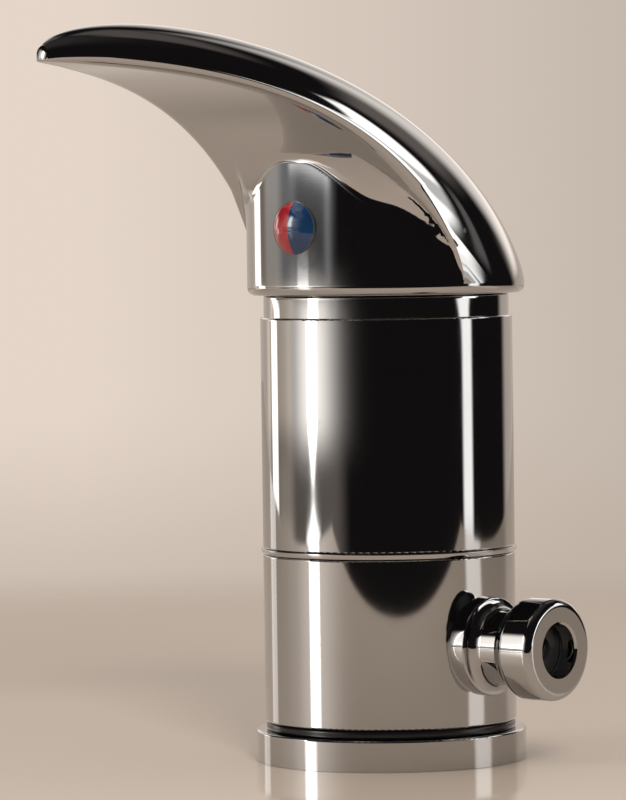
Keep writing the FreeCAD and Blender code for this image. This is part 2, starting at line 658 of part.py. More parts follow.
def make_moving_disc():
    """Disc that slides and turns over the ports; its hollow joins them."""
    disc = new_body("moving_disc")
    cylinder(disc, "disc", moving_disc_radius, s.moving_disc_height, cut=False)
    far = mixing_radius.number
    sketch = disc.newObject("Sketcher::SketchObject", "hollow_outline")
    plane = next(item for item in disc.Origin.OriginFeatures if item.Role == "XY_Plane")
    sketch.AttachmentSupport = [(plane, "")]
    sketch.MapMode = "FlatFace"
    side = math.sqrt(far ** 2 - s.mixing_edge.number ** 2)
    start = math.atan2(-s.mixing_edge.number, side)
    circle = Part.Circle(Vector(0, 0, 0), Vector(0, 0, 1), far)
    sketch.addGeometry(Part.ArcOfCircle(circle, start, math.pi - start))
    edge = -s.mixing_edge.number
    sketch.addGeometry(Part.LineSegment(Vector(-side, edge, 0), Vector(side, edge, 0)))
    sketch.addConstraint([
        Sketcher.Constraint("Coincident", 0, 3, -1, 1),
        Sketcher.Constraint("Coincident", 0, 2, 1, 1),
        Sketcher.Constraint("Coincident", 1, 2, 0, 1),
        Sketcher.Constraint("Horizontal", 1),
        Sketcher.Constraint("Radius", 0, far),
        Sketcher.Constraint("DistanceY", -1, 1, 1, 1, edge)])
    bind(sketch, "Constraints[4]", mixing_radius)
    bind(sketch, "Constraints[5]", -s.mixing_edge)
    hollow = disc.newObject("PartDesign::Pocket", "mixing_hollow")
    hollow.Profile = sketch
    hollow.Reversed = True
    bind(hollow, "Length", s.mixing_depth)
    for number, sign in enumerate((1, -1)):
        cylinder(disc, f"peg_hole_{number + 1}", s.peg_radius + s.thread_gap, s.peg_length,
                 0, sign * s.carrier_half_width, s.moving_disc_height - s.peg_length)
    place(disc, y=slide_offset, z=disc_face)


def make_carrier():
    """Slide that the stem's ball drives; it carries the moving disc."""
    half_length = moving_disc_radius - s.carrier_inset
    carrier = new_body("disc_carrier")
    cylinder(carrier, "plate", moving_disc_radius, s.carrier_plate, cut=False)
    block(carrier, "guide_block",
          (-s.carrier_half_width, -half_length, s.carrier_plate / 2),
          (s.carrier_half_width, half_length, s.carrier_height), cut=False)
    socket = s.stem_ball + s.driver_gap
    block(carrier, "ball_socket", (-socket, -socket, s.carrier_floor),
          (socket, socket, s.carrier_height))
    for number, sign in enumerate((1, -1)):
        cylinder(carrier, f"peg_{number + 1}", s.peg_radius, s.peg_length + s.carrier_plate / 2,
                 0, sign * s.carrier_half_width, -s.peg_length, cut=False)
    place(carrier, y=slide_offset, z=carrier_bottom)


def make_rotor():
    """Rotor that turns with the lever, its pivot pin, its seal and the stem."""
    neck_top = pivot_height + s.rotor_rise
    rotor = new_body("cartridge_rotor")
    turn(rotor, "rotor", [
        (0, rotor_bottom), (rotor_radius, rotor_bottom), (rotor_radius, rotor_top),
        (s.rotor_neck, rotor_top), (s.rotor_neck, neck_top), (0, neck_top)])
    rail_inner = s.carrier_half_width + s.rail_gap
    rail_bottom = carrier_bottom + s.carrier_plate + s.rail_gap
    rail_end = rotor_radius - s.rail_inset
    for name, low, high in (("right", rail_inner, rail_inner + s.rail_width),
                            ("left", -rail_inner - s.rail_width, -rail_inner)):
        block(rotor, f"{name}_rail", (low, -rail_end, rail_bottom),
              (high, rail_end, rotor_bottom + s.rotor_plate / 2), cut=False)
    slot = s.stem_side / 2 + s.slot_gap
    slot_end = s.stem_side / 2 + s.slot_room
    block(rotor, "stem_slot", (-slot, -slot_end, rotor_bottom), (slot, slot_end, neck_top))
    cylinder(rotor, "pivot_hole", s.pivot_radius, 2 * s.rotor_neck,
             -s.rotor_neck, 0, pivot_height, "+X")
    centre = rotor_sleeve - s.ring_fit - s.neck_wire
    level = (roof_bottom + nut_bottom) / 2
    half = s.neck_wire + s.valve_fit
    turn(rotor, "seal_groove", [
        (centre - s.neck_wire, level - half), (rotor_sleeve, level - half),
        (rotor_sleeve, level + half), (centre - s.neck_wire, level + half)], cut=True)

    seal = doc.addObject("Part::Torus", "rotor_o_ring")
    bind(seal, "Radius1", centre)
    bind(seal, "Radius2", s.neck_wire)
    place(seal, z=level)
    parts.append(seal)

    pin_end = s.rotor_neck - s.pivot_inset
    pin = doc.addObject("Part::Cylinder", "stem_pivot_pin")
    bind(pin, "Radius", s.pivot_radius)
    bind(pin, "Height", 2 * pin_end)
    place(pin, -pin_end, 0, pivot_height, TURNS["+X"])
    parts.append(pin)

    stem = new_body("cartridge_stem")
    half = s.stem_side / 2
    block(stem, "square", (-half, -half, -s.stem_shoulder), (half, half, s.stem_rise), cut=False)
    cylinder(stem, "shank", s.stem_shank, s.stem_arm, z=-s.stem_arm, cut=False)
    ball = stem.newObject("PartDesign::AdditiveSphere", "ball")
    bind(ball, "Radius", s.stem_ball)
    place(ball, z=-s.stem_arm)
    cylinder(stem, "pin_hole", s.pivot_radius + s.pivot_fit, s.stem_side, -half, 0, 0, "+X")
    lean_with_lever(stem)


def lean_with_lever(item):
    """Set a piece that is drawn about the pivot at the lever's closed position."""
    turned = Rotation(Vector(1, 0, 0), lean.number)
    item.Placement = Placement(Vector(0, 0, pivot_height.number), turned)
    bind(item, "Placement.Base.z", pivot_height)
    bind(item, "Placement.Rotation.Angle", lean)


def make_dome_cover():
    """Cover ring that shows as the narrow neck under the lever."""
    cover = new_body("dome_cover")
    spigot = nut_thread - s.cartridge_gap
    inner = spigot - s.cover_wall - s.cartridge_gap
    straight = body_top + s.cover_straight
    top = body_top + s.cover_rise
    crown = (cover_radius + cover_opening) / 2
    crown_top = top - s.cover_fall
    lining = cover_radius - s.cover_wall
    turn(cover, "cover", [
        (inner, body_top - s.cover_spigot), (spigot, body_top - s.cover_spigot),
        (spigot, body_top), (cover_radius, body_top), (cover_radius, straight),
        (crown, crown_top), (cover_opening, top), (cover_opening, top - s.cover_wall),
        (crown, crown_top - s.cover_wall), (lining, straight - s.cover_wall / 2),
        (lining, body_top + s.cover_wall), (inner, body_top)])
    round_rims(cover, "shoulder_round", s.cover_round, [(cover_radius, straight)])


def bezier(poles, at):
    """Point of a Bezier curve through the plane's coordinates."""
    degree = len(poles) - 1
    total = Vector(0, 0, 0)
    for i, pole in enumerate(poles):
        total += pole * (math.comb(degree, i) * at ** i * (1 - at) ** (degree - i))
    return total


def make_lever():
    """Claw-shaped lever: a crowned shell of elliptical sections that fan out from the skirt's
    rim to the tip, cut from below by the underside, over a round skirt."""
    base = rim.number
    foot = band_top.number
    tip = Vector(0, -s.lever_reach.number, tip_height.number)
    radius = skirt_radius.number
    spine = [Vector(0, 0, foot), Vector(0, 0, foot + s.spine_start.number),
             Vector(0, -s.spine_low_out.number, base + s.spine_low_up.number),
             Vector(0, -s.spine_high_out.number, base + s.spine_high_up.number),
             tip + Vector(0, -s.spine_end_out.number, -s.spine_end_drop.number), tip]
    ridge = [Vector(0, radius, foot), Vector(0, radius, foot + s.ridge_start.number),
             Vector(0, radius - s.ridge_low_in.number, base + s.ridge_low_up.number),
             Vector(0, -s.ridge_high_out.number, base + s.ridge_high_up.number),
             tip + Vector(0, 0, s.ridge_end_up.number), tip]
    widths = [Vector(width, 0, 0) for width in (
        radius, radius, radius - s.width_low_in.number, radius - s.width_mid_in.number,
        s.width_high.number, 0)]

    unit = Part.Circle(Vector(0, 0, 0), Vector(0, 0, 1), 1)
    halves = [Part.ArcOfCircle(unit, 0, math.pi).toShape(),
              Part.ArcOfCircle(unit, math.pi, 2 * math.pi).toShape()]
    sections = []
    for number in range(STATIONS):
        at = NOSE_END * number / (STATIONS - 1)
        centre = bezier(spine, at)
        rise = bezier(ridge, at) - centre
        wide = bezier(widths, at).x
        up = Vector(rise).normalize()
        normal = Vector(1, 0, 0).cross(up)
        stretch = FreeCAD.Matrix(wide, 0, 0, centre.x,
                                 0, rise.y, normal.y, centre.y,
                                 0, rise.z, normal.z, centre.z)
        section = doc.addObject("Part::Feature", f"lever_section_{number + 1:02d}")
        section.Shape = Part.Wire(halves).transformGeometry(stretch)
        sections.append(section)
    crown = doc.addObject("Part::Loft", "lever_crown")
    crown.Sections = sections
    crown.Solid = True
    crown.Ruled = False

    start = Vector(0, -s.under_start_out.number, foot)
    under = [start, start + Vector(0, 0, s.under_start_up.number),
             Vector(0, -s.under_low_out.number, base + s.under_low_up.number),
             Vector(0, -s.under_high_out.number, base + s.under_high_up.number),
             tip + Vector(0, -s.under_tip_out.number, -s.under_tip_drop.number)]
    curve = Part.BezierCurve()
    curve.setPoles(under)
    above = tip.z + radius
    behind = 2 * radius
    path = [under[-1], Vector(0, under[-1].y, above), Vector(0, behind, above),
            Vector(0, behind, foot), start]
    sides = [Part.LineSegment(path[i], path[i + 1]).toShape() for i in range(len(path) - 1)]
    profile = doc.addObject("Part::Feature", "underside_profile")
    profile.Shape = Part.Face(Part.Wire([curve.toShape()] + sides))
    place(profile, x=-2 * skirt_radius)
    upper_side = doc.addObject("Part::Extrusion", "upper_side")
    upper_side.Base = profile
    upper_side.DirMode = "Custom"
    upper_side.Dir = Vector(1, 0, 0)
    bind(upper_side, "LengthFwd", 4 * skirt_radius)
    upper_side.Solid = True

    blade = doc.addObject("Part::MultiCommon", "lever_blade")
    blade.Shapes = [crown, upper_side]
    skirt_column = doc.addObject("Part::Cylinder", "skirt_column")
    bind(skirt_column, "Radius", skirt_radius)
    bind(skirt_column, "Height", s.under_low_up)
    place(skirt_column, z=band_top)
    skirt = doc.addObject("Part::Cut", "skirt_front")
    skirt.Base = skirt_column
    skirt.Tool = upper_side
    band = new_body("skirt_band", tool=True)
    turn(band, "band", [(0, rim), (skirt_radius, rim), (skirt_radius, band_top), (0, band_top)])
    round_rims(band, "rim_round", s.skirt_round, [(skirt_radius, rim)])
    outside = doc.addObject("Part::MultiFuse", "lever_outside")
    outside.Shapes = [blade, skirt, band]
    return outside


def solid(kind, name, sizes, x=0, y=0, z=0, along="+Z"):
    """A plain solid used as a tool, with its own properties bound to sizes."""
    item = doc.addObject(kind, name)
    for field, size in sizes.items():
        bind(item, field, size_of(size))
    place(item, x, y, z, TURNS[along])
    return item


def joined(kind, name, shapes):
    """Several solids fused, or what they have in common."""
    item = doc.addObject(kind, name)
    item.Shapes = shapes
    return item


def cut(name, base, tool):
    """One solid less another."""
    item = doc.addObject("Part::Cut", name)
    item.Base = base
    item.Tool = tool
    return item


def make_handle():
    """Hollow lever with a rounded rim, the socket for the stem and the indicator's seat."""
    outside = make_lever()
    ball = solid("Part::Sphere", "hollow_ball", {"Radius": hollow_radius}, z=pivot_height)
    column = solid("Part::Cylinder", "hollow_column",
                   {"Radius": skirt_inner, "Height": hollow_radius + s.skirt_wall},
                   z=rim - s.skirt_wall)
    hollow = joined("Part::MultiCommon", "hollow", [ball, column])

    shell = cut("lever_shell", outside, hollow)
    reach = hollow_radius + s.skirt_wall
    boss = solid("Part::Cylinder", "socket_boss",
                 {"Radius": s.boss_radius, "Height": reach - s.boss_start})
    lean_with_lever(boss)
    bind(boss, "Placement.Base.y", -s.boss_start * sine(lean))
    bind(boss, "Placement.Base.z", pivot_height + s.boss_start * cosine(lean))
    half = s.stem_side / 2 + s.socket_gap
    socket = doc.addObject("Part::Box", "stem_socket")
    bind(socket, "Length", 2 * half)
    bind(socket, "Width", 2 * half)
    bind(socket, "Height", s.stem_rise + s.socket_gap)
    lean_with_lever(socket)
    bind(socket, "Placement.Base.x", -half)
    bind(socket, "Placement.Base.y", -half * cosine(lean))
    bind(socket, "Placement.Base.z", pivot_height - half * sine(lean))

    seat = solid("Part::Cylinder", "indicator_seat",
                 {"Radius": s.plug_radius + s.plug_gap, "Height": 2 * s.plug_depth},
                 0, s.plug_depth - skirt_radius, plug_height, "-Y")
    thread = solid("Part::Cylinder", "screw_thread",
                   {"Radius": s.screw_radius + s.socket_gap, "Height": skirt_radius},
                   0, 0, plug_height, "-Y")
    bored = joined("Part::MultiFuse", "lever_bores", [socket, seat, thread])
    whole = joined("Part::MultiFuse", "lever_with_boss", [shell, boss])
    handle = cut("handle", whole, bored)
    parts.append(handle)


def make_indicator():
    """Grub screw, and the red and blue indicator that covers it."""
    up = plug_height - pivot_height
    face = up * sine(lean) / cosine(lean) + s.stem_side / 2 / cosine(lean)
    tip = -face - s.screw_radius * sine(lean) - s.running_gap
    screw = new_body("handle_grub_screw")
    cylinder(screw, "thread", s.screw_radius, s.screw_length, cut=False)
    key = screw.newObject("PartDesign::SubtractivePrism", "key_hexagon")
    key.Polygon = 6
    bind(key, "Circumradius", s.screw_key)
    bind(key, "Height", s.screw_radius)
    place(key, z=s.screw_length - s.screw_radius)
    place(screw, 0, tip, plug_height, TURNS["-Y"])

    seat_floor = s.plug_depth - skirt_radius
    base_height = s.plug_depth + s.socket_gap
    shank = s.screw_radius - s.plug_gap
    base = new_body("indicator_base")
    turn(base, "base", [
        (0, -s.plug_depth), (shank, -s.plug_depth), (shank, 0), (s.plug_radius, 0),
        (s.plug_radius, base_height), (0, base_height)])
    place(base, 0, seat_floor, plug_height, TURNS["-Y"])

    lens = s.plug_radius - s.plug_gap
    ball_radius = (lens * lens + s.plug_dome * s.plug_dome) / (2 * s.plug_dome)
    front = seat_floor - base_height
    for label, side in (("indicator_blue", 0), ("indicator_red", -1)):
        ball = solid("Part::Sphere", label + "_ball", {"Radius": ball_radius},
                     0, front + ball_radius - s.plug_dome, plug_height)
        half = solid("Part::Box", label + "_half",
                     {"Length": s.plug_radius, "Width": s.plug_dome, "Height": 2 * s.plug_radius},
                     side * s.plug_radius, front - s.plug_dome, plug_height - s.plug_radius)
        parts.append(joined("Part::MultiCommon", label, [ball, half]))


make_base()
make_collar()
make_outlet_end()
make_valve_body()
make_cartridge()
make_dome_cover()
make_handle()
make_indicator()
doc.recompute()

for item in doc.Objects:
    if "Invalid" in item.State or "Error" in item.State:
        raise RuntimeError(f"{item.Label} failed: {item.State}")
os.makedirs("parts", exist_ok=True)
for part in parts:
    shape = part.Shape
    if shape.isNull() or not shape.isValid():
        raise RuntimeError(f"{part.Label} has no valid shape")
    shape.exportStep(f"parts/{part.Label}.step")
    print(part.Label, len(shape.Solids), round(shape.Volume, 1))
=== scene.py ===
"""Looks of the shower mixer: the pieces that show, their finishes, the floor, the light and the
camera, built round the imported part.

Sizes are in millimetres and every mesh is made in metres. The outlet points along +X, the lever
reaches forward along -Y and the mixer turns about the Z axis.
"""

from __future__ import annotations

import bisect
import enum
import logging
import math
from dataclasses import dataclass, field
from functools import cached_property
from typing import Callable, Sequence, Union

import bmesh
import bpy
from mathutils import Matrix, Vector

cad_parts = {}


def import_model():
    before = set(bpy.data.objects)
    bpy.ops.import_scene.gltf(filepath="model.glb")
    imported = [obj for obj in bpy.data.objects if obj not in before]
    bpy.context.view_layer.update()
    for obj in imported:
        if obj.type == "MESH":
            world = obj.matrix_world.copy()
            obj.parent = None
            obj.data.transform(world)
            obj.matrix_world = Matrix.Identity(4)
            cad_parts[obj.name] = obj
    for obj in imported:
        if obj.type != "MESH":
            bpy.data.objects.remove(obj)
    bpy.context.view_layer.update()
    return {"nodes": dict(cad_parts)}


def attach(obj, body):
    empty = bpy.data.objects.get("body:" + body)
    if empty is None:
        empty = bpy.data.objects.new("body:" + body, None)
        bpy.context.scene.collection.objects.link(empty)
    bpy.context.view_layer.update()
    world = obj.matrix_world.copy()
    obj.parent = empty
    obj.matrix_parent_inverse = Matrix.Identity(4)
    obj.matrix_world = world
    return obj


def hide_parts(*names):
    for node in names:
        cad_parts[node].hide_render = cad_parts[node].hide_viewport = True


LOG = logging.getLogger("shower_mixer")
MM = 0.001
NEAR_M = 0.00002
MERGE_M = 0.000002
LEVEL_NORMAL = 0.99

Number = Union[int, float]
Colour = tuple[float, float, float]


class Slot(enum.Enum):
    """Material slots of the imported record."""

    CHROME = "chrome"
    BRASS = "brass"
    BLACK_PLASTIC = "black_plastic"
    RUBBER = "rubber"
    CERAMIC = "ceramic"
    CARTRIDGE_PLASTIC = "cartridge_plastic"
    STEEL = "steel"
    RED_ENAMEL = "red_enamel"
    BLUE_ENAMEL = "blue_enamel"


class Body(enum.Enum):
    """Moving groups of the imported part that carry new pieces."""

    MIXER = "mixer_body"
    LEVER = "lever"


def dimmed(colour: Colour, share: float) -> Colour:
    """A colour with a share of its light taken away."""
    red, green, blue = (part * (1 - share) for part in colour)
    return (red, green, blue)


# Shader maths


class Signal:
    """One number that travels through a node tree, so that shader maths reads as Python."""

    def __init__(self, graph: Graph, socket: bpy.types.NodeSocket) -> None:
        """Wraps an output socket of the graph."""
        self.graph = graph
        self.socket = socket

    def __add__(self, other: Signal | Number) -> Signal:
        """Sum."""
        return self.graph.maths("ADD", self, other)

    __radd__ = __add__

    def __mul__(self, other: Signal | Number) -> Signal:
        """Product."""
        return self.graph.maths("MULTIPLY", self, other)

    __rmul__ = __mul__

    def __sub__(self, other: Signal | Number) -> Signal:
        """Difference."""
        return self.graph.maths("SUBTRACT", self, other)

    def __rsub__(self, other: Signal | Number) -> Signal:
        """Difference, taken from the other value."""
        return self.graph.maths("SUBTRACT", other, self)

    def __truediv__(self, other: Signal | Number) -> Signal:
        """Quotient."""
        return self.graph.maths("DIVIDE", self, other)

    def __pow__(self, other: Signal | Number) -> Signal:
        """Power."""
        return self.graph.maths("POWER", self, other)

    def ramp(self, low: float, high: float, bottom: float = 0.0, top: float = 1.0) -> Signal:
        """A smooth step of this value.

        Args:
            low: The value at which the step starts.
            high: The value at which it ends.
            bottom: The result before it.
            top: The result after it.

        Returns:
            The stepped value.
        """
        node = self.graph.node("ShaderNodeMapRange", {"interpolation_type": "SMOOTHSTEP"},
                               {"Value": self, "From Min": low, "From Max": high,
                                "To Min": bottom, "To Max": top})
        return Signal(self.graph, node.outputs["Result"])

    def between(self, low: float, high: float, soft: float) -> Signal:
        """One inside a band of this value, zero outside it, with soft edges."""
        return self.ramp(low - soft, low + soft) * (1 - self.ramp(high - soft, high + soft))

    def glow(self, centre: float, spread: float) -> Signal:
        """A bell round a centre: one there, and about a third one spread away."""
        away = (self - centre) / spread
        return self.graph.maths("EXPONENT", away * away * -1)

    def size(self) -> Signal:
        """The value without its sign."""
        return self.graph.maths("ABSOLUTE", self)


class Graph:
    """A node tree under construction."""

    def __init__(self, tree: bpy.types.NodeTree) -> None:
        """Takes a node tree and empties it."""
        self.tree = tree
        tree.nodes.clear()

    def node(self, kind: str, settings: dict | None = None,
             values: dict | None = None) -> bpy.types.Node:
        """Adds one node.

        Args:
            kind: The node's type.
            settings: Its own properties, which are set first.
            values: The values or links of its sockets, by name or number.

        Returns:
            The new node.
        """
        made = self.tree.nodes.new(kind)
        for name, value in (settings or {}).items():
            setattr(made, name, value)
        for name, value in (values or {}).items():
            self.plug(made.inputs[name], value)
        return made

    def plug(self, socket: bpy.types.NodeSocket, value: object) -> None:
        """Links a signal or an output into a socket, or sets its value.

        Args:
            socket: The socket that is fed.
            value: A signal, an output socket, a number or a colour.
        """
        if isinstance(value, Signal):
            self.tree.links.new(value.socket, socket)
        elif isinstance(value, bpy.types.NodeSocket):
            self.tree.links.new(value, socket)
        elif socket.type == "RGBA":
            socket.default_value = (*value[:3], 1)
        else:
            socket.default_value = value

    def maths(self, operation: str, first: Signal | Number, second: Signal | Number = 0) -> Signal:
        """A Math node over two values."""
        made = self.node("ShaderNodeMath", {"operation": operation}, {0: first, 1: second})
        return Signal(self, made.outputs[0])

    def mix(self, share: Signal | Number, first: object, second: object) -> bpy.types.NodeSocket:
        """Colour between two colours, by a share from 0 to 1."""
        made = self.node("ShaderNodeMix", {"data_type": "RGBA"}, {0: share, 6: first, 7: second})
        return made.outputs[2]

    def place(self, stretch: Sequence[float] = (1, 1, 1)) -> bpy.types.NodeSocket:
        """Object coordinates in metres, stretched along the axes."""
        where = self.node("ShaderNodeTexCoord").outputs["Object"]
        return self.node("ShaderNodeMapping", None, {"Vector": where, "Scale": stretch}).outputs[0]

    def noise(self, where: bpy.types.NodeSocket, scale: float, detail: float = 3.0,
              rough: float = 0.5) -> Signal:
        """Cloudy noise from about 0 to 1."""
        made = self.node("ShaderNodeTexNoise", None, {
            "Vector": where, "Scale": scale, "Detail": detail, "Roughness": rough})
        return Signal(self, made.outputs[0])

    def dots(self, where: bpy.types.NodeSocket, scale: float, size: float) -> Signal:
        """Small round specks: 1 in a speck and 0 between them."""
        made = self.node("ShaderNodeTexVoronoi", None, {"Vector": where, "Scale": scale})
        return 1 - Signal(self, made.outputs["Distance"]).ramp(size * 0.6, size)

    def bump(self, height: Signal, strength: float, distance: float) -> bpy.types.NodeSocket:
        """Normals that follow a height, whose full step is distance metres."""
        made = self.node("ShaderNodeBump", None, {
            "Strength": strength, "Distance": distance, "Height": height})
        return made.outputs[0]


# Finishes


@dataclass(frozen=True)
class Finish:
    """A surface finish that can be put on a piece."""

    name: str
    slot: Slot
    colour: Colour
    roughness: float

    def fixed(self) -> dict:
        """Shader values that are the same all over."""
        return {}

    def paint(self, graph: Graph, shader: bpy.types.Node) -> None:
        """Adds what changes over the surface."""
        raise NotImplementedError

    def toned(self, share: float) -> Colour:
        """The finish's colour, darkened to a share of itself."""
        red, green, blue = (share * part for part in self.colour)
        return (red, green, blue)

    def material(self) -> bpy.types.Material:
        """The finish's material, made the first time it is asked for.

        Returns:
            The material.
        """
        known = bpy.data.materials.get(self.name)
        if known is not None:
            return known
        made = bpy.data.materials.new(self.name)
        made.use_nodes = True
        made.diffuse_color = (*self.colour, 1)
        graph = Graph(made.node_tree)
        shader = graph.node("ShaderNodeBsdfPrincipled", None, {
            "Base Color": self.colour, "Roughness": self.roughness, **self.fixed()})
        self.paint(graph, shader)
        graph.node("ShaderNodeOutputMaterial", None, {"Surface": shader.outputs[0]})
        return made

    def dress(self, piece: bpy.types.Object) -> None:
        """Puts the finish on a piece.

        Args:
            piece: A piece of the scene's own.
        """
        piece.data.materials.clear()
        piece.data.materials.append(self.material())


@dataclass(frozen=True)
class PolishedChrome(Finish):
    """Mirror chrome plating with wiped smudges, water spots and hairline scratches."""

    smudge: float = 0.03
    spots: float = 0.04
    dulled: float = 0.93
    scratch_depth: float = 0.00001

    def fixed(self) -> dict:
        """Plated metal all over."""
        return {"Metallic": 1.0}

    def paint(self, graph: Graph, shader: bpy.types.Node) -> None:
        """Smudges and spots that dull the mirror a little.

        Args:
            graph: The material's graph.
            shader: Its main shader.
        """
        where = graph.place()
        cloud = graph.noise(where, scale=38, detail=4, rough=0.55).ramp(0.46, 0.72)
        wiped = graph.noise(graph.place((1, 1, 0.12)), scale=420, detail=3).ramp(0.52, 0.8)
        spot = graph.dots(where, scale=260, size=0.16) * graph.noise(where, scale=55).ramp(0.56, 0.68)
        film = cloud * self.smudge + wiped * cloud * self.smudge * 0.6 + spot * self.spots
        graph.plug(shader.inputs["Roughness"], self.roughness + film)
        graph.plug(shader.inputs["Base Color"],
                   graph.mix(cloud * 0.5 + spot * 0.5, self.colour, self.toned(self.dulled)))
        hair = graph.noise(graph.place((1, 1, 14)), scale=260, detail=2)
        graph.plug(shader.inputs["Normal"], graph.bump(hair, strength=0.01, distance=self.scratch_depth))


@dataclass(frozen=True)
class TurnedMetal(Finish):
    """Turned or drawn metal with the fine rings of the tool and a stained tint."""

    grain: float = 0.12
    rings: float = 2600
    stained: float = 0.7
    ring_depth: float = 0.00003

    def fixed(self) -> dict:
        """Bare metal all over."""
        return {"Metallic": 1.0}

    def paint(self, graph: Graph, shader: bpy.types.Node) -> None:
        """Tool rings in the roughness and the normal, stains in the colour.

        Args:
            graph: The material's graph.
            shader: Its main shader.
        """
        lines = graph.noise(graph.place((0.05, 0.05, 1)), scale=self.rings, detail=2)
        stain = graph.noise(graph.place(), scale=90, detail=4, rough=0.6).ramp(0.4, 0.75)
        graph.plug(shader.inputs["Roughness"],
                   self.roughness + lines * self.grain + stain * 0.08)
        graph.plug(shader.inputs["Base Color"],
                   graph.mix(stain * 0.6, self.colour, self.toned(self.stained)))
        graph.plug(shader.inputs["Normal"], graph.bump(lines, strength=0.25, distance=self.ring_depth))


@dataclass(frozen=True)
class Moulded(Finish):
    """Moulded plastic or rubber with a fine spark-eroded skin and faint dust."""

    pebble: float = 2600
    depth: float = 0.00002
    dust: float = 0.05

    def fixed(self) -> dict:
        """A plain dielectric."""
        return {"Specular IOR Level": 0.45}

    def paint(self, graph: Graph, shader: bpy.types.Node) -> None:
        """Skin texture, uneven gloss and dust.

        Args:
            graph: The material's graph.
            shader: Its main shader.
        """
        where = graph.place()
        skin = graph.noise(where, scale=self.pebble, detail=2)
        uneven = graph.noise(where, scale=70, detail=4, rough=0.6).ramp(0.35, 0.75)
        graph.plug(shader.inputs["Roughness"], self.roughness + uneven * 0.09)
        pale = tuple(c + self.dust * (1 - c) for c in self.colour)
        graph.plug(shader.inputs["Base Color"], graph.mix(uneven * 0.6, self.colour, pale))
        graph.plug(shader.inputs["Normal"], graph.bump(skin, strength=0.5, distance=self.depth))


@dataclass(frozen=True)
class LappedCeramic(Finish):
    """Lapped alumina: smooth and milky, with the marks of the lapping."""

    lapped: float = 0.86

    def fixed(self) -> dict:
        """A hard gloss coat over a milky base."""
        return {"Specular IOR Level": 0.6, "Subsurface Weight": 0.05,
                "Subsurface Radius": (0.001, 0.0008, 0.0006)}

    def paint(self, graph: Graph, shader: bpy.types.Node) -> None:
        """Grey lapping marks over a speckled body.

        Args:
            graph: The material's graph.
            shader: Its main shader.
        """
        where = graph.place()
        fine = graph.noise(where, scale=1800, detail=2)
        worn = graph.noise(where, scale=120, detail=3).ramp(0.45, 0.8)
        graph.plug(shader.inputs["Roughness"], self.roughness + fine * 0.06 + worn * 0.1)
        graph.plug(shader.inputs["Base Color"],
                   graph.mix(worn * 0.7 + fine * 0.2, self.colour, self.toned(self.lapped)))


@dataclass(frozen=True)
class GlossEnamel(Finish):
    """Glossy dyed plastic of the indicator, deep in colour under a clear skin."""

    deep: float = 0.55
    peel_depth: float = 0.00003

    def fixed(self) -> dict:
        """A clear coat all over."""
        return {"Coat Weight": 0.6, "Coat Roughness": 0.03, "Specular IOR Level": 0.5}

    def paint(self, graph: Graph, shader: bpy.types.Node) -> None:
        """Colour that deepens in clouds and a trace of orange peel.

        Args:
            graph: The material's graph.
            shader: Its main shader.
        """
        where = graph.place()
        cloud = graph.noise(where, scale=240, detail=3).ramp(0.3, 0.75)
        peel = graph.noise(where, scale=900, detail=2)
        graph.plug(shader.inputs["Base Color"],
                   graph.mix(cloud * 0.6, self.colour, self.toned(self.deep)))
        graph.plug(shader.inputs["Roughness"], self.roughness + cloud * 0.06)
        graph.plug(shader.inputs["Normal"], graph.bump(peel, strength=0.15, distance=self.peel_depth))


CHROME = PolishedChrome("polished_chrome", Slot.CHROME, (0.55, 0.552, 0.555), 0.035)
CHROME_FLANGE = PolishedChrome("polished_chrome_flange", Slot.CHROME, (0.55, 0.55, 0.55), 0.05,
                               smudge=0.06, spots=0.06)
BRASS = TurnedMetal("turned_brass", Slot.BRASS, (0.58, 0.42, 0.2), 0.24)
STEEL = TurnedMetal("drawn_steel", Slot.STEEL, (0.5, 0.49, 0.47), 0.22, grain=0.1, rings=1400)
BLACK_PLASTIC = Moulded("black_moulding", Slot.BLACK_PLASTIC, (0.018, 0.018, 0.019), 0.34)
BLACK_GLOSS = Moulded("black_gloss_moulding", Slot.BLACK_PLASTIC, (0.004, 0.0035, 0.0035), 0.16,
                      dust=0.004)
RUBBER = Moulded("black_rubber", Slot.RUBBER, (0.02, 0.02, 0.02), 0.55, pebble=1500,
                 depth=0.00004, dust=0.08)
CARTRIDGE_PLASTIC = Moulded("cream_moulding", Slot.CARTRIDGE_PLASTIC, (0.7, 0.67, 0.6), 0.38,
                            dust=0.0)
CERAMIC = LappedCeramic("lapped_ceramic", Slot.CERAMIC, (0.82, 0.8, 0.74), 0.16)
RED = GlossEnamel("red_enamel_gloss", Slot.RED_ENAMEL, (0.4, 0.018, 0.028), 0.12)
BLUE = GlossEnamel("blue_enamel_gloss", Slot.BLUE_ENAMEL, (0.007, 0.036, 0.1), 0.12)


# Helpers for the pieces


def dress_nodes(nodes: dict[str, bpy.types.Object],
                finishes: dict[str, Finish]) -> list[bpy.types.Object]:
    """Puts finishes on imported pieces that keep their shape.

    Args:
        nodes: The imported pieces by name.
        finishes: The finish of each piece that is dressed.

    Returns:
        The dressed pieces.
    """
    for name, finish in finishes.items():
        materials = nodes[name].data.materials
        if not materials:
            materials.append(finish.material())
        for number in range(len(materials)):
            materials[number] = finish.material()
    return [nodes[name] for name in finishes]


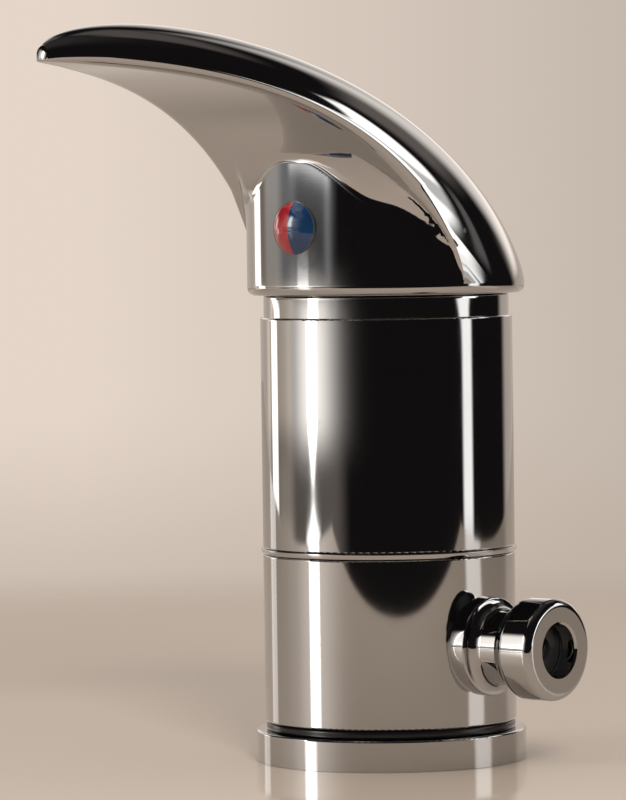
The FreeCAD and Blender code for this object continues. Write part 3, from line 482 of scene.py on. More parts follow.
def pick(piece: bpy.types.Object, kind: str, wanted: Callable[..., bool]) -> None:
    """Selects the faces or edges of a piece in edit mode by their place or direction.

    Args:
        piece: The piece, which is in edit mode.
        kind: "faces" or "edges".
        wanted: Whether a face or edge is selected.
    """
    bpy.ops.mesh.select_all(action="DESELECT")
    bpy.ops.mesh.select_mode(type="FACE" if kind == "faces" else "EDGE")
    mesh = bmesh.from_edit_mesh(piece.data)
    mesh.normal_update()
    for part in getattr(mesh, kind):
        if wanted(part):
            part.select_set(True)
    mesh.select_flush_mode()
    bmesh.update_edit_mesh(piece.data)


def close_up(piece: bpy.types.Object, angle: float = 50) -> None:
    """Merges a piece's double points, turns its faces outwards and shades it smooth.

    Args:
        piece: The piece.
        angle: Edges sharper than this, in degrees, stay hard.
    """
    bpy.ops.object.select_all(action="DESELECT")
    bpy.context.view_layer.objects.active = piece
    piece.select_set(True)
    bpy.ops.object.mode_set(mode="EDIT")
    bpy.ops.mesh.select_all(action="SELECT")
    bpy.ops.mesh.remove_doubles(threshold=MERGE_M)
    bpy.ops.mesh.normals_make_consistent(inside=False)
    bpy.ops.object.mode_set(mode="OBJECT")
    bpy.ops.object.shade_smooth_by_angle(angle=math.radians(angle))


def smooth(value: float, low: float, high: float) -> float:
    """A smooth step of a plain number, from 0 at low to 1 at high."""
    share = min(1.0, max(0.0, (value - low) / (high - low)))
    return share * share * (3 - 2 * share)


def bezier(poles: Sequence[Sequence[float]], at: float) -> Vector:
    """Point of a Bezier curve.

    Args:
        poles: Its poles, of any number of dimensions.
        at: The place along it, from 0 to 1.

    Returns:
        The point.
    """
    degree = len(poles) - 1
    weights = [math.comb(degree, i) * at ** i * (1 - at) ** (degree - i) for i in range(degree + 1)]
    return Vector([sum(w * pole[axis] for w, pole in zip(weights, poles))
                   for axis in range(len(poles[0]))])


# Sub-assemblies


@dataclass
class TurnedRing:
    """A ring turned round the mixer's axis: a pipe cut from a disc, with its rims worked.

    Its radii and levels are in millimetres.
    """

    name: str
    inside: float
    outside: float
    bottom: float
    top: float
    sides: int = 256
    segments: int = 4
    hard_over: float = 40.0

    def blank(self) -> bpy.types.Object:
        """A pipe at the ring's size and place, left in edit mode.

        Returns:
            The piece.
        """
        bpy.ops.object.select_all(action="DESELECT")
        bpy.ops.mesh.primitive_cylinder_add(
            vertices=self.sides, radius=self.outside * MM, depth=(self.top - self.bottom) * MM,
            location=(0, 0, (self.top + self.bottom) / 2 * MM))
        piece = bpy.context.active_object
        piece.name = self.name
        bpy.ops.object.transform_apply(location=True, rotation=True, scale=True)
        bpy.ops.object.mode_set(mode="EDIT")
        pick(piece, "faces", lambda face: abs(face.normal.z) > LEVEL_NORMAL)
        bpy.ops.mesh.inset(thickness=(self.outside - self.inside) * MM, depth=0)
        pick(piece, "faces", lambda face: len(face.verts) == self.sides)
        bpy.ops.mesh.bridge_edge_loops()
        return piece

    def on_rim(self, edge: bmesh.types.BMEdge, radius: float, level: float) -> bool:
        """Whether an edge runs round the ring at a radius and a level."""
        return all(abs(end.co.z - level * MM) < NEAR_M
                   and abs(math.hypot(end.co.x, end.co.y) - radius * MM) < NEAR_M
                   for end in edge.verts)

    def round_rim(self, piece: bpy.types.Object, radius: float, level: float,
                  width: float) -> None:
        """Rounds one rim of the piece in edit mode."""
        pick(piece, "edges", lambda edge: self.on_rim(edge, radius, level))
        bpy.ops.mesh.bevel(offset=width * MM, segments=self.segments, profile=0.5, affect="EDGES")

    def grow(self, piece: bpy.types.Object, radius: float, level: float, change: float) -> None:
        """Makes one rim of the piece in edit mode wider or narrower.

        Args:
            piece: The piece.
            radius: The rim's radius.
            level: Its height over the deck.
            change: What is added to its radius.
        """
        pick(piece, "edges", lambda edge: self.on_rim(edge, radius, level))
        share = (radius + change) / radius
        bpy.ops.transform.resize(value=(share, share, 1), center_override=(0, 0, level * MM))

    def finish(self, piece: bpy.types.Object, look: Finish) -> None:
        """Leaves edit mode, closes the piece up and dresses it.

        Args:
            piece: The ring in edit mode.
            look: Its finish.
        """
        bpy.ops.object.mode_set(mode="OBJECT")
        close_up(piece, self.hard_over)
        look.dress(piece)


@dataclass
class Mount:
    """Base flange, its gasket and the slip ring."""

    finishes: dict[str, Finish] = field(default_factory=lambda: {
        "base_flange": CHROME_FLANGE, "base_gasket": RUBBER})
    slip: TurnedRing = field(default_factory=lambda: TurnedRing(
        "slip_ring_gloss", inside=17.9, outside=23.75, bottom=5.93, top=7.37))
    slip_round: float = 0.35

    def dress(self, nodes: dict[str, bpy.types.Object]) -> list[bpy.types.Object]:
        """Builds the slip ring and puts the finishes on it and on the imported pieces.

        Args:
            nodes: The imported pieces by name.

        Returns:
            The pieces of this group.
        """
        ring = self.slip.blank()
        for level in (self.slip.top, self.slip.bottom):
            self.slip.round_rim(ring, self.slip.outside, level, self.slip_round)
        self.slip.finish(ring, BLACK_GLOSS)
        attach(ring, Body.MIXER.value)
        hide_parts("lower_slip_ring")
        return [ring] + dress_nodes(nodes, self.finishes)


@dataclass
class Collar:
    """Swivel collar with the outlet, its seals and the bead over it."""

    finishes: dict[str, Finish] = field(default_factory=lambda: {
        "swivel_collar": CHROME, "collar_o_rings": RUBBER,
        "outlet_end_ring": CHROME, "outlet_washer": RUBBER,
        "check_valve_housing": BLACK_PLASTIC, "check_valve_poppet": BLACK_PLASTIC,
        "check_valve_spring": STEEL})
    seam: TurnedRing = field(default_factory=lambda: TurnedRing(
        "seam_bead", inside=17.62, outside=24.36, bottom=39.52, top=40.48))
    bead_lean: float = 0.2
    bead_top_round: float = 0.16
    bead_bottom_round: float = 0.12

    def dress(self, nodes: dict[str, bpy.types.Object]) -> list[bpy.types.Object]:
        """Builds the bead, whose side leans in, and puts the finishes on all pieces.

        Args:
            nodes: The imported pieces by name.

        Returns:
            The pieces of this group.
        """
        seam = self.seam
        bead = seam.blank()
        seam.grow(bead, seam.outside, seam.bottom, -self.bead_lean)
        seam.round_rim(bead, seam.outside, seam.top, self.bead_top_round)
        seam.round_rim(bead, seam.outside - self.bead_lean, seam.bottom, self.bead_bottom_round)
        seam.finish(bead, CHROME)
        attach(bead, Body.MIXER.value)
        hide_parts("seam_ring")
        return [bead] + dress_nodes(nodes, self.finishes)


@dataclass
class Barrel:
    """The body over the collar and the cover ring under the lever."""

    finishes: dict[str, Finish] = field(default_factory=lambda: {
        "valve_body": CHROME, "dome_cover": CHROME})

    def dress(self, nodes: dict[str, bpy.types.Object]) -> list[bpy.types.Object]:
        """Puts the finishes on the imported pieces."""
        return dress_nodes(nodes, self.finishes)


@dataclass
class Cartridge:
    """The ceramic-disc cartridge with its seals, which the body hides."""

    finishes: dict[str, Finish] = field(default_factory=lambda: {
        "cartridge_base": CARTRIDGE_PLASTIC, "cartridge_port_seals": RUBBER,
        "fixed_disc": CERAMIC, "moving_disc": CERAMIC, "disc_carrier": CARTRIDGE_PLASTIC,
        "cartridge_housing": CARTRIDGE_PLASTIC, "cartridge_nut": BRASS,
        "cartridge_rotor": CARTRIDGE_PLASTIC, "rotor_o_ring": RUBBER,
        "stem_pivot_pin": STEEL, "cartridge_stem": STEEL})

    def dress(self, nodes: dict[str, bpy.types.Object]) -> list[bpy.types.Object]:
        """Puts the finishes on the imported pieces."""
        return dress_nodes(nodes, self.finishes)


@dataclass(frozen=True)
class Station:
    """One cut across the lever, at one place along its curves. Lengths are in millimetres.

    The middle is a point forward and up, and the rise is the cut's direction up. The crown is half
    an ellipse, wide to either side and tall over the middle, that the underside cuts off at low.
    The chord is half the skirt's width there, soft is the crease's length, and the underside's flat
    part ends at inner. The flat share is 1 where the underside stands out as a ledge.
    """

    middle: Vector
    rise: Vector
    wide: float
    tall: float
    low: float
    chord: float
    soft: float
    inner: float
    flat: float

    @property
    def under(self) -> Vector:
        """Where the underside crosses the cut, forward and up."""
        return self.middle + self.rise * self.low

    def at(self, across: float, up: float) -> Vector:
        """A point of the cut, in metres.

        Args:
            across: Its place to the right of the middle.
            up: Its place along the cut's rise.

        Returns:
            The point.
        """
        point = self.middle + self.rise * up
        return Vector((across, -point.x, point.y)) * MM


@dataclass
class LeverShell:
    """The lever's chrome shell with its rounded crease and the hollow where the underside runs
    into the skirt.

    Its sections change along four curves at once, which no operator sweeps, so the points of its
    skin are worked out ring by ring from the curves of the part's lever, slightly corrected.
    """

    # Skirt and rim
    skirt: float = 26.395
    skirt_inside: float = 24.6
    foot: float = 90.6
    rim: float = 88.6
    rim_round: float = 1.6
    # Poles of the four curves, forward and up, and in widths to the side
    spine: tuple = ((0, foot), (0, 92.1), (24.7, 120.5), (35.9, 136.2), (95.3, 130.7), (93.3, 132.6))
    ridge: tuple = ((-skirt, foot), (-skirt, 97.1), (-22.7, 123.2), (39.3, 147.94), (93.3, 140.1),
                    (93.3, 132.6))
    widths: tuple = ((skirt, 0), (skirt, 0), (22.5, 0), (20.9, 0), (7.3, 0), (0, 0))
    underside: tuple = ((7.6, foot), (7.6, 98.0), (25.5, 124.9), (51.1, 128.6), (94.5, 131.2))
    last: float = 0.962
    reach: float = 93.35
    nose_lift: float = 0.1
    # Round hollow inside, about the pivot, and the socket's leaning boss
    pivot: float = 79.0
    hollow: float = 27.5
    boss: float = 8.5
    boss_start: float = 13.5
    lean: float = 12.5
    lean_drop: float = 1.0
    # Crease along the lower edge
    crease_round: float = 2.8
    crease_share: float = 0.55
    crease_most: float = 0.42
    # Hollow under the lever, shallow in front and deep at the sides, in degrees and levels
    hollow_front: float = 1.0
    hollow_side: float = 6.3
    hollow_turns: tuple = (6.0, 36.0)
    hollow_ledge: float = 1.1
    hollow_least: float = 0.03
    ledge_least: float = 0.1
    ledge_levels: tuple = (96.5, 100.5)
    # How finely the skin is cut
    hairline: float = 0.05
    dense_until: float = 0.45
    dense_bias: float = 1.15
    dense_cuts: int = 150
    other_cuts: int = 110
    belly_steps: int = 900
    crown_steps: int = 96
    crease_steps: int = 9
    rim_steps: int = 12
    hollow_steps: int = 22
    nose_steps: int = 8
    half_columns: int = 48
    halvings: int = 18

    def stations(self, line: list[Vector]) -> list[Station]:
        """Cuts from the band over the rim to the nose.

        Args:
            line: Points along the underside.

        Returns:
            The cuts, which lie closest together at the rim.
        """
        places = [self.dense_until * (k / self.dense_cuts) ** self.dense_bias
                  for k in range(self.dense_cuts)]
        places += [self.dense_until + (self.last - self.dense_until) * k / self.other_cuts
                   for k in range(self.other_cuts + 1)]
        return [self.station(place, line) for place in places]

    def belly(self) -> list[Vector]:
        """Points along the underside, forward and up."""
        return [bezier(self.underside, k / self.belly_steps) for k in range(self.belly_steps + 1)]

    def station(self, place: float, line: list[Vector]) -> Station:
        """The cut at one place along the curves.

        Args:
            place: From 0 at the foot to 1 at the nose.
            line: Points along the underside.

        Returns:
            The cut.
        """
        middle = bezier(self.spine, place)
        up = bezier(self.ridge, place) - middle
        wide = bezier(self.widths, place).x
        tall = up.length
        rise = up / tall
        low = self.crossing(middle, rise, tall, line)
        edge = wide * math.sqrt(max(0.0, 1 - (low / tall) ** 2))
        under = middle + rise * low
        chord = math.sqrt(max(0.0, self.skirt ** 2 - under.x ** 2)) if under.x < self.skirt else 0.0
        soft = min(self.crease_round, self.crease_share * max(0.0, edge - chord),
                   self.crease_most * edge)
        flat = self.ledge_share(under.y)
        inner = edge - soft
        inner += (min(inner, chord) - inner) * (1 - flat) if chord > 0 else 0.0
        return Station(middle, rise, wide, tall, low, chord, soft, inner, flat)

    def crossing(self, middle: Vector, rise: Vector, tall: float, line: list[Vector]) -> float:
        """Where the underside crosses a cut.

        Args:
            middle: The cut's middle, forward and up.
            rise: The cut's direction up.
            tall: The crown's height over the middle.
            line: Points along the underside.

        Returns:
            The crossing's place along the rise, the nearest to the middle where there are more.
        """
        normal = Vector((-rise.y, rise.x))
        found = []
        for first, second in zip(line, line[1:]):
            before, after = (first - middle).dot(normal), (second - middle).dot(normal)
            if before * after <= 0 and before != after:
                share = before / (before - after)
                found.append((first.lerp(second, share) - middle).dot(rise))
        return min((place for place in found if place < tall), key=abs)

    def ledge_share(self, level: float) -> float:
        """How much of the underside's ledge there is at a level: 0 low down, 1 higher up."""
        return smooth(level, *self.ledge_levels)

    def crown(self, cut: Station) -> tuple[list[Vector], list[Vector], list[Vector]]:
        """The upper side of a cut.

        Args:
            cut: The cut.

        Returns:
            Points of the right crease from the underside up, of the crown from right to left, and
            of the left crease down to the underside.
        """
        start = math.asin(cut.low / cut.tall)
        stretch = math.hypot(cut.wide * math.sin(start), cut.tall * math.cos(start))
        first = start + cut.soft / stretch
        span = math.pi - 2 * first
        arc = [cut.at(cut.wide * math.cos(first + span * k / self.crown_steps),
                      cut.tall * math.sin(first + span * k / self.crown_steps))
               for k in range(self.crown_steps + 1)]
        high = (cut.wide * math.cos(first), cut.tall * math.sin(first))
        slope = -cut.wide * math.sin(first) / (cut.tall * math.cos(first))
        corner = Vector((high[0] + (cut.low - high[1]) * slope, cut.low))
        straight = (Vector((cut.inner, cut.low)) + Vector(high)) / 2
        poles = ((cut.inner, cut.low), straight.lerp(corner, cut.flat), high)
        right, left = [], []
        for k in range(1, self.crease_steps):
            across, up = bezier(poles, k / self.crease_steps)
            right.append(cut.at(across, up))
            left.append(cut.at(-across, up))
        return right, arc, left[::-1]

    def column(self, share: float, cuts: list[Station], line: list[Vector]) -> list[Vector]:
        """One line up the skirt's front and on along the underside, with the hollow between them.

        Args:
            share: Its place across the underside's flat part, from -1 to 1.
            cuts: All cuts.
            line: Points along the underside.

        Returns:
            The line's point in each cut.
        """
        paths = [Vector((share * cut.inner, -cut.under.x, cut.under.y)) for cut in cuts]
        meets = next((number for number, cut in enumerate(cuts)
                      if cut.chord <= abs(share) * cut.inner), len(cuts) - 1)
        if meets == 0:
            return [point * MM for point in paths]
        before, after = cuts[meets - 1], cuts[meets]
        gap_before = before.chord - abs(share) * before.inner
        gap_after = abs(share) * after.inner - after.chord
        part = gap_before / (gap_before + gap_after) if gap_before + gap_after > 0 else 0.0
        corner = paths[meets - 1].lerp(paths[meets], part)
        out = math.sqrt(max(0.0, self.skirt ** 2 - corner.x ** 2))
        points = [Vector((corner.x, -out, cut.under.y)) if number < meets else paths[number]
                  for number, cut in enumerate(cuts)]
        ledge = self.hollow_ledge * (1 - abs(share)) * cuts[meets].inner
        return [self.hollowed(point, ledge, line) * MM for point in points]

    def hollowed(self, point: Vector, ledge: float, line: list[Vector]) -> Vector:
        """Moves a point of the sharp corner under the lever onto the hollow that softens it.

        Args:
            point: A point of the skirt or the underside.
            ledge: How far the underside stands out from the skirt there.
            line: Points along the underside.

        Returns:
            The moved point.
        """
        turn = math.degrees(math.atan2(abs(point.x), -point.y))
        size = self.hollow_front + (self.hollow_side - self.hollow_front) * smooth(
            turn, *self.hollow_turns)
        size *= self.hollow_least + (1 - self.hollow_least) * self.ledge_share(point.z)
        reach = min(size, max(self.ledge_least, ledge))
        way = (Vector((point.x, point.y, 0)).normalized() - Vector((0, 0, 1))).normalized()
        near, far = 0.0, size
        for _ in range(self.halvings):
            middle = (near + far) / 2
            if self.clear_of(point + way * middle, size, reach, line) > 0:
                far = middle
            else:
                near = middle
        return point + way * near

    def clear_of(self, point: Vector, size: float, reach: float, line: list[Vector]) -> float:
        """How far a point lies outside skirt and underside, joined by a hollow.

        Args:
            point: The point.
            size: How far the hollow runs down the skirt.
            reach: How far it runs out along the underside.
            line: Points along the underside.

        Returns:
            The distance as a share of the hollow, below zero inside the lever.
        """
        forward = -point.y
        number = min(len(line) - 1, max(1, bisect.bisect_left(line, forward, key=lambda p: p.x)))
        first, second = line[number - 1], line[number]
        share = (forward - first.x) / (second.x - first.x) if second.x > first.x else 0.0
        below = (first.y + (second.y - first.y) * share - point.z) / size
        beside = (math.hypot(point.x, point.y) - self.skirt) / reach
        blend = min(1.0, max(0.0, 0.5 + 0.5 * (below - beside)))
        return below * (1 - blend) + beside * blend - blend * (1 - blend)

    def rings(self) -> list[list[Vector]]:
        """All rings of the skin.

        Returns:
            The rings, from the socket's boss round the rim and out to the nose.
        """
        line = self.belly()
        cuts = self.stations(line)
        shares = [math.sin(math.pi / 2 * k / self.half_columns)
                  for k in range(-self.half_columns, self.half_columns + 1)]
        columns = [self.column(share, cuts, line) for share in shares]
        skin = []
        for number, cut in enumerate(cuts):
            right, arc, left = self.crown(cut)
            skin.append(arc + left + [column[number] for column in columns] + right)
        return self.inside(skin[0]) + skin + self.nose(skin[-1])

    def inside(self, first: list[Vector]) -> list[list[Vector]]:
        """Rings of the rim and the hollow, which stand level round the axis.

        Args:
            first: The first ring of the outside.

        Returns:
            The rings, from the boss up and out to the rim.
        """
        ways = [Vector((point.x, point.y)).normalized() for point in first]
        soft = self.rim_round
        profile = []
        for k in range(self.rim_steps + 1):
            turn = math.radians(90 * k / self.rim_steps)
            profile.append((self.skirt - soft + soft * math.cos(turn),
                            self.rim + soft - soft * math.sin(turn)))
        profile += [(self.skirt_inside + self.hairline, self.rim),
                    (self.skirt_inside, self.rim + self.hairline)]
        start = math.asin(self.skirt_inside / self.hollow)
        end = math.asin(self.boss / self.hollow)
        for k in range(self.hollow_steps + 1):
            turn = start + (end - start) * k / self.hollow_steps
            profile.append((self.hollow * math.sin(turn), self.pivot + self.hollow * math.cos(turn)))
        rings = [[Vector((way.x * radius, way.y * radius, level)) * MM for way in ways]
                 for radius, level in profile]
        top = self.pivot + self.hollow * math.cos(end)
        lean = math.tan(math.radians(self.lean))
        end_level = self.pivot + self.boss_start
        for level, radius in ((top - self.lean_drop, self.boss),
                              (end_level + self.hairline, self.boss),
                              (end_level, self.boss - self.hairline)):
            shift = -(level - self.pivot) * lean
            rings.append([Vector((way.x * radius, way.y * radius + shift, level)) * MM
                          for way in ways])
        return rings[::-1]

    def nose(self, last: list[Vector]) -> list[list[Vector]]:
        """Rings that round off the end.

        Args:
            last: The last ring of the outside.

        Returns:
            The rings, from that one out.
        """
        middle = sum(last, Vector()) / len(last)
        ahead = Vector((0, -self.reach * MM, middle.z + self.nose_lift * MM)) - middle
        rings = []
        for k in range(1, self.nose_steps):
            turn = math.radians(90 * k / self.nose_steps)
            rings.append([middle + (point - middle) * math.cos(turn) + ahead * math.sin(turn)
                          for point in last])
        return rings

    def build(self) -> bpy.types.Object:
        """Makes the shell as one closed piece.

        Returns:
            The shell.
        """
        rings = self.rings()
        count = len(rings[0])
        points = [point for ring in rings for point in ring]
        faces = []
        for row in range(len(rings) - 1):
            low, high = row * count, (row + 1) * count
            faces += [(low + k, low + (k + 1) % count, high + (k + 1) % count, high + k)
                      for k in range(count)]
        for ring, start in ((rings[0], 0), (rings[-1], (len(rings) - 1) * count)):
            points.append(sum(ring, Vector()) / count)
            faces += [(start + k, start + (k + 1) % count, len(points) - 1) for k in range(count)]
        mesh = bpy.data.meshes.new("lever_shell")
        mesh.from_pydata(points, [], faces)
        shell = bpy.data.objects.new("lever_shell", mesh)
        bpy.context.scene.collection.objects.link(shell)
        close_up(shell)
        return shell


@dataclass
class Lever:
    """The claw-shaped lever, its screw and the red and blue indicator."""

    finishes: dict[str, Finish] = field(default_factory=lambda: {
        "handle_grub_screw": STEEL, "indicator_base": BLACK_PLASTIC,
        "indicator_red": RED, "indicator_blue": BLUE})
    shell: LeverShell = field(default_factory=LeverShell)

    def dress(self, nodes: dict[str, bpy.types.Object]) -> list[bpy.types.Object]:
        """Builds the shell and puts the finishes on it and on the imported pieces.

        Args:
            nodes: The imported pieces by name.

        Returns:
            The pieces of this group.
        """
        shell = self.shell.build()
        CHROME.dress(shell)
        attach(shell, Body.LEVER.value)
        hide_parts("handle")
        return [shell] + dress_nodes(nodes, self.finishes)


# Stage, light and camera


@dataclass(frozen=True)
class Viewpoint:
    """Where the photograph was taken from. Angles are in degrees and lengths in millimetres."""

    azimuth: float = 40.0
    distance: float = 900.0
    height: float = 102.0
    pitch: float = -2.13
    yaw: float = 0.9
    roll: float = -0.75
    lens: float = 212.6
    film: float = 36.0
    nearest_m: float = 0.01
    farthest_m: float = 50.0

    @property
    def towards(self) -> Vector:
        """Level direction from the mixer to the camera."""
        turn = math.radians(self.azimuth)
        return Vector((math.sin(turn), -math.cos(turn), 0))

    @property
    def right(self) -> Vector:
        """Level direction to the picture's right."""
        turn = math.radians(self.azimuth)
        return Vector((math.cos(turn), math.sin(turn), 0))

    def camera(self) -> bpy.types.Object:
        """Makes the camera and gives it to the scene.

        Returns:
            The camera.
        """
        data = bpy.data.cameras.new("camera")
        data.lens = self.lens
        data.sensor_width = self.film
        data.sensor_fit = "AUTO"
        data.clip_start = self.nearest_m
        data.clip_end = self.farthest_m
        made = bpy.data.objects.new("camera", data)
        bpy.context.scene.collection.objects.link(made)
        made.location = (self.towards * self.distance + Vector((0, 0, self.height))) * MM
        level = math.cos(math.radians(self.pitch))
        turned = Matrix.Rotation(math.radians(self.yaw), 3, "Z") @ -self.towards
        look = turned * level + Vector((0, 0, math.sin(math.radians(self.pitch))))
        made.rotation_mode = "QUATERNION"
        facing = look.to_track_quat("-Z", "Y")
        made.rotation_quaternion = facing @ Matrix.Rotation(
            math.radians(self.roll), 3, "Z").to_quaternion()
        bpy.context.scene.camera = made
        return made


@dataclass
class MirroredRoom:
    """The room that polished metal mirrors: dark, with bright panels and a beige backdrop.

    Directions are in degrees. A bearing is 0 towards the camera and 90 to its right, and a pitch
    is the height above the level. The rear is how far a direction goes away from the camera. Each
    light or wall is a method, and the fields that end in light say how bright it is.
    """

    graph: Graph
    pitch: Signal
    bearing: Signal
    rear: Signal
    dark: Colour = (0.009, 0.0075, 0.0075)
    panel_bearing: float = -72.5
    panel_low_light: float = 3.0
    panel_high_light: float = 8.0
    halo_light: float = 1.9
    veil_light: float = 0.12
    veil_edge_light: float = 0.16
    trace_light: float = 0.55
    patch_light: float = 2.6
    gleam_light: float = 1.5
    strip_foot_light: float = 0.95
    echo_light: float = 0.14
    left_strip_light: float = 1.8
    floor_light: float = 0.14
    right_wall_light: float = 0.16
    back_wall_light: float = 0.11
    ceiling_light: float = 0.03

    @cached_property
    def low(self) -> Signal:
        """One in the lower part of the room, up to the top of the backdrop."""
        return 1 - self.pitch.ramp(8, 15)

    @cached_property
    def under(self) -> Signal:
        """One below the level stretch in which the panel is dim."""
        return 1 - self.pitch.ramp(-0.95, -0.65)

    @cached_property
    def over(self) -> Signal:
        """One above that stretch."""
        return self.pitch.ramp(2.2, 4.2)

    @cached_property
    def dim(self) -> Signal:
        """One within that stretch."""
        return (1 - self.under) * (1 - self.over)

    @cached_property
    def headroom(self) -> Signal:
        """One up to the panel's upper end."""
        return 1 - self.pitch.ramp(22, 30)

    @cached_property
    def aside(self) -> Signal:
        """Degrees from the panel's middle, to either side."""
        return (self.bearing - self.panel_bearing).size()

    def panel(self) -> Signal:
        """The white panel on the left, narrow at its foot and brighter in its upper part.

        Returns:
            Its brightness in each direction.
        """
        half = self.pitch.ramp(-3.2, -2.3, 1.5, 5.5)
        core = (1 - (self.aside - half).ramp(-1.2, 1.2)) * self.pitch.ramp(-3.25, -3.0)
        return core * self.headroom * (self.under * self.panel_low_light
                                       + self.over * self.panel_high_light)

    def halo(self) -> Signal:
        """The lit surroundings of the panel."""
        bell = self.bearing.glow(-72, 21.5) * self.pitch.ramp(-3.05, -2.3)
        return bell * self.headroom * (self.under + self.over) * self.halo_light

    def veil(self) -> Signal:
        """The faint light on both sides of the panel in its dim stretch.

        Returns:
            Its brightness in each direction.
        """
        faint = self.bearing.ramp(-84, -74, 1.0, 0.0) + self.pitch.ramp(-0.5, 0.8, 0.3, 1.0)
        faint = self.bearing.between(-118, -42, 4) * self.dim * faint * self.veil_light
        return faint + self.bearing.glow(-48.5, 3.5) * self.dim * self.veil_edge_light

    def foot(self) -> Signal:
        """What shows under the panel: a trace of it, and a patch that widens downwards.

        Returns:
            Its brightness in each direction.
        """
        trace = self.bearing.glow(-72.3, 3.2) * self.pitch.between(-3.5, -3.1, 0.12)
        half = self.pitch.ramp(-3.95, -3.4, 9.0, 1.4)
        patch = (1 - (self.aside - half).ramp(-1.5, 1.5)) * self.pitch.between(-5.5, -3.42, 0.05)
        return trace * self.trace_light + patch * self.patch_light

    def gleam(self) -> Signal:
        """The light low on the left, which rounded rims mirror."""
        return (self.bearing.between(-88, -46, 5) * self.pitch.between(-18, -7, 0.8)
                * self.gleam_light)

    def sheen(self) -> Signal:
        """A thin bright line across the dim stretch, a little lower on its right."""
        line = (self.pitch - self.bearing.ramp(-80, -48, 0.68, 0.53)).ramp(-0.05, 0.07)
        return line * (1 - self.pitch.ramp(1.2, 1.6)) * self.bearing.between(-86, -46, 3)

    def strip(self) -> Signal:
        """The tall strip on the right, which leans outwards, with a faint echo beside it.

        Returns:
            Its brightness in each direction.
        """
        start = (self.pitch.ramp(-1.5, -0.3, 73, 68) + self.pitch.ramp(2, 32, 0, 38)
                 + self.pitch.between(2.5, 10.5, 1.5) * 5.5)
        end = self.pitch.ramp(-1, 21, 83.5, 114.5) + self.pitch.between(-0.6, 6.5, 0.5) * 4
        inside = (self.bearing - start).ramp(-2, 2) * (1 - (self.bearing - end).ramp(-2, 2))
        inside = inside * (1 - self.pitch.ramp(30, 33))
        bright = (self.pitch.ramp(1, 4, 1.6, 2.1) - self.strip_foot_light
                  + self.pitch.ramp(-4.2, -3.4) * self.strip_foot_light)
        dimmer = 1 - self.pitch.between(12.6, 17.4, 0.9) * 0.6
        echo = (self.bearing - end).between(4, 8, 1) * self.pitch.between(9, 18, 2)
        return inside * bright * dimmer + echo * self.echo_light

    def left_strip(self) -> Signal:
        """The narrow strip far on the left, which steps aside above the level."""
        moved = self.bearing + self.pitch.ramp(-1.1, -0.7, 0, 7)
        return moved.between(-131, -119.5, 1.0) * self.low * self.left_strip_light

    def left_wall(self) -> Signal:
        """The warm wall on the left, half as bright above the level, with a dark line below it."""
        wall = self.bearing.between(-140, -97, 6) * self.low * (1 - (1 - self.under) * 0.5)
        return wall * (1 - self.pitch.between(-3.7, -2.5, 0.3) * 0.6)

    def floor(self) -> Signal:
        """The shaded floor under the panel."""
        return (self.bearing.between(-118, -42, 8) * (1 - self.pitch.ramp(-3.1, -2.5))
                * self.floor_light)

    def backdrop(self) -> Signal:
        """The beige backdrop, on both sides of the mixer."""
        return (self.bearing.ramp(128, 140) + (1 - self.bearing.ramp(-137, -131))) * self.low

    def backdrop_top(self) -> Signal:
        """The pale upper part of the backdrop, which starts higher straight behind the mixer.

        Returns:
            Its brightness in each direction.
        """
        flank = 1 - self.bearing.size().ramp(160, 170)
        pale = self.rear.ramp(0.68, 0.86) * flank + self.rear.ramp(0.82, 1.0) * (1 - flank)
        return pale * self.pitch.ramp(6, 10)

    def high_walls(self) -> Signal:
        """The dim walls over the backdrop, on the right and at the back.

        Returns:
            Its brightness in each direction.
        """
        right = self.bearing.between(124, 150, 5) * self.pitch.between(20, 33, 3)
        back = self.bearing.size().between(130, 172, 6) * self.pitch.between(44, 62, 4)
        return right * self.right_wall_light + back * self.back_wall_light

    def ceiling(self) -> Signal:
        """The trace of light on the ceiling."""
        return self.pitch.ramp(48, 80) * self.ceiling_light

    def steep(self) -> Signal:
        """The table's colour, for what looks down past its edge."""
        return 1 - self.pitch.ramp(-16, -14.5)

    def paint(self) -> bpy.types.NodeSocket:
        """Adds the lights and walls up.

        Returns:
            The colour that metal mirrors.
        """
        white = (self.panel() + self.foot() + self.strip() + self.left_strip() + self.gleam()
                 + self.sheen())
        parts = ((white, (1.0, 0.98, 0.95)), (self.halo(), (1.0, 0.93, 0.86)),
                 (self.veil(), (0.97, 0.98, 1.0)), (self.left_wall(), (0.5, 0.42, 0.34)),
                 (self.floor(), (1.0, 0.85, 0.75)), (self.backdrop(), (0.55, 0.47, 0.41)),
                 (self.backdrop_top(), (0.95, 0.88, 0.82)), (self.high_walls(), (1.0, 0.85, 0.78)),
                 (self.ceiling(), (1.0, 0.97, 0.95)), (self.steep(), (0.62, 0.53, 0.45)))
        total: object = self.dark
        for amount, colour in parts:
            part = self.graph.node("ShaderNodeVectorMath", {"operation": "SCALE"},
                                   {0: colour, "Scale": amount}).outputs[0]
            total = self.graph.node("ShaderNodeVectorMath", {"operation": "ADD"},
                                    {0: total, 1: part}).outputs[0]
        return total


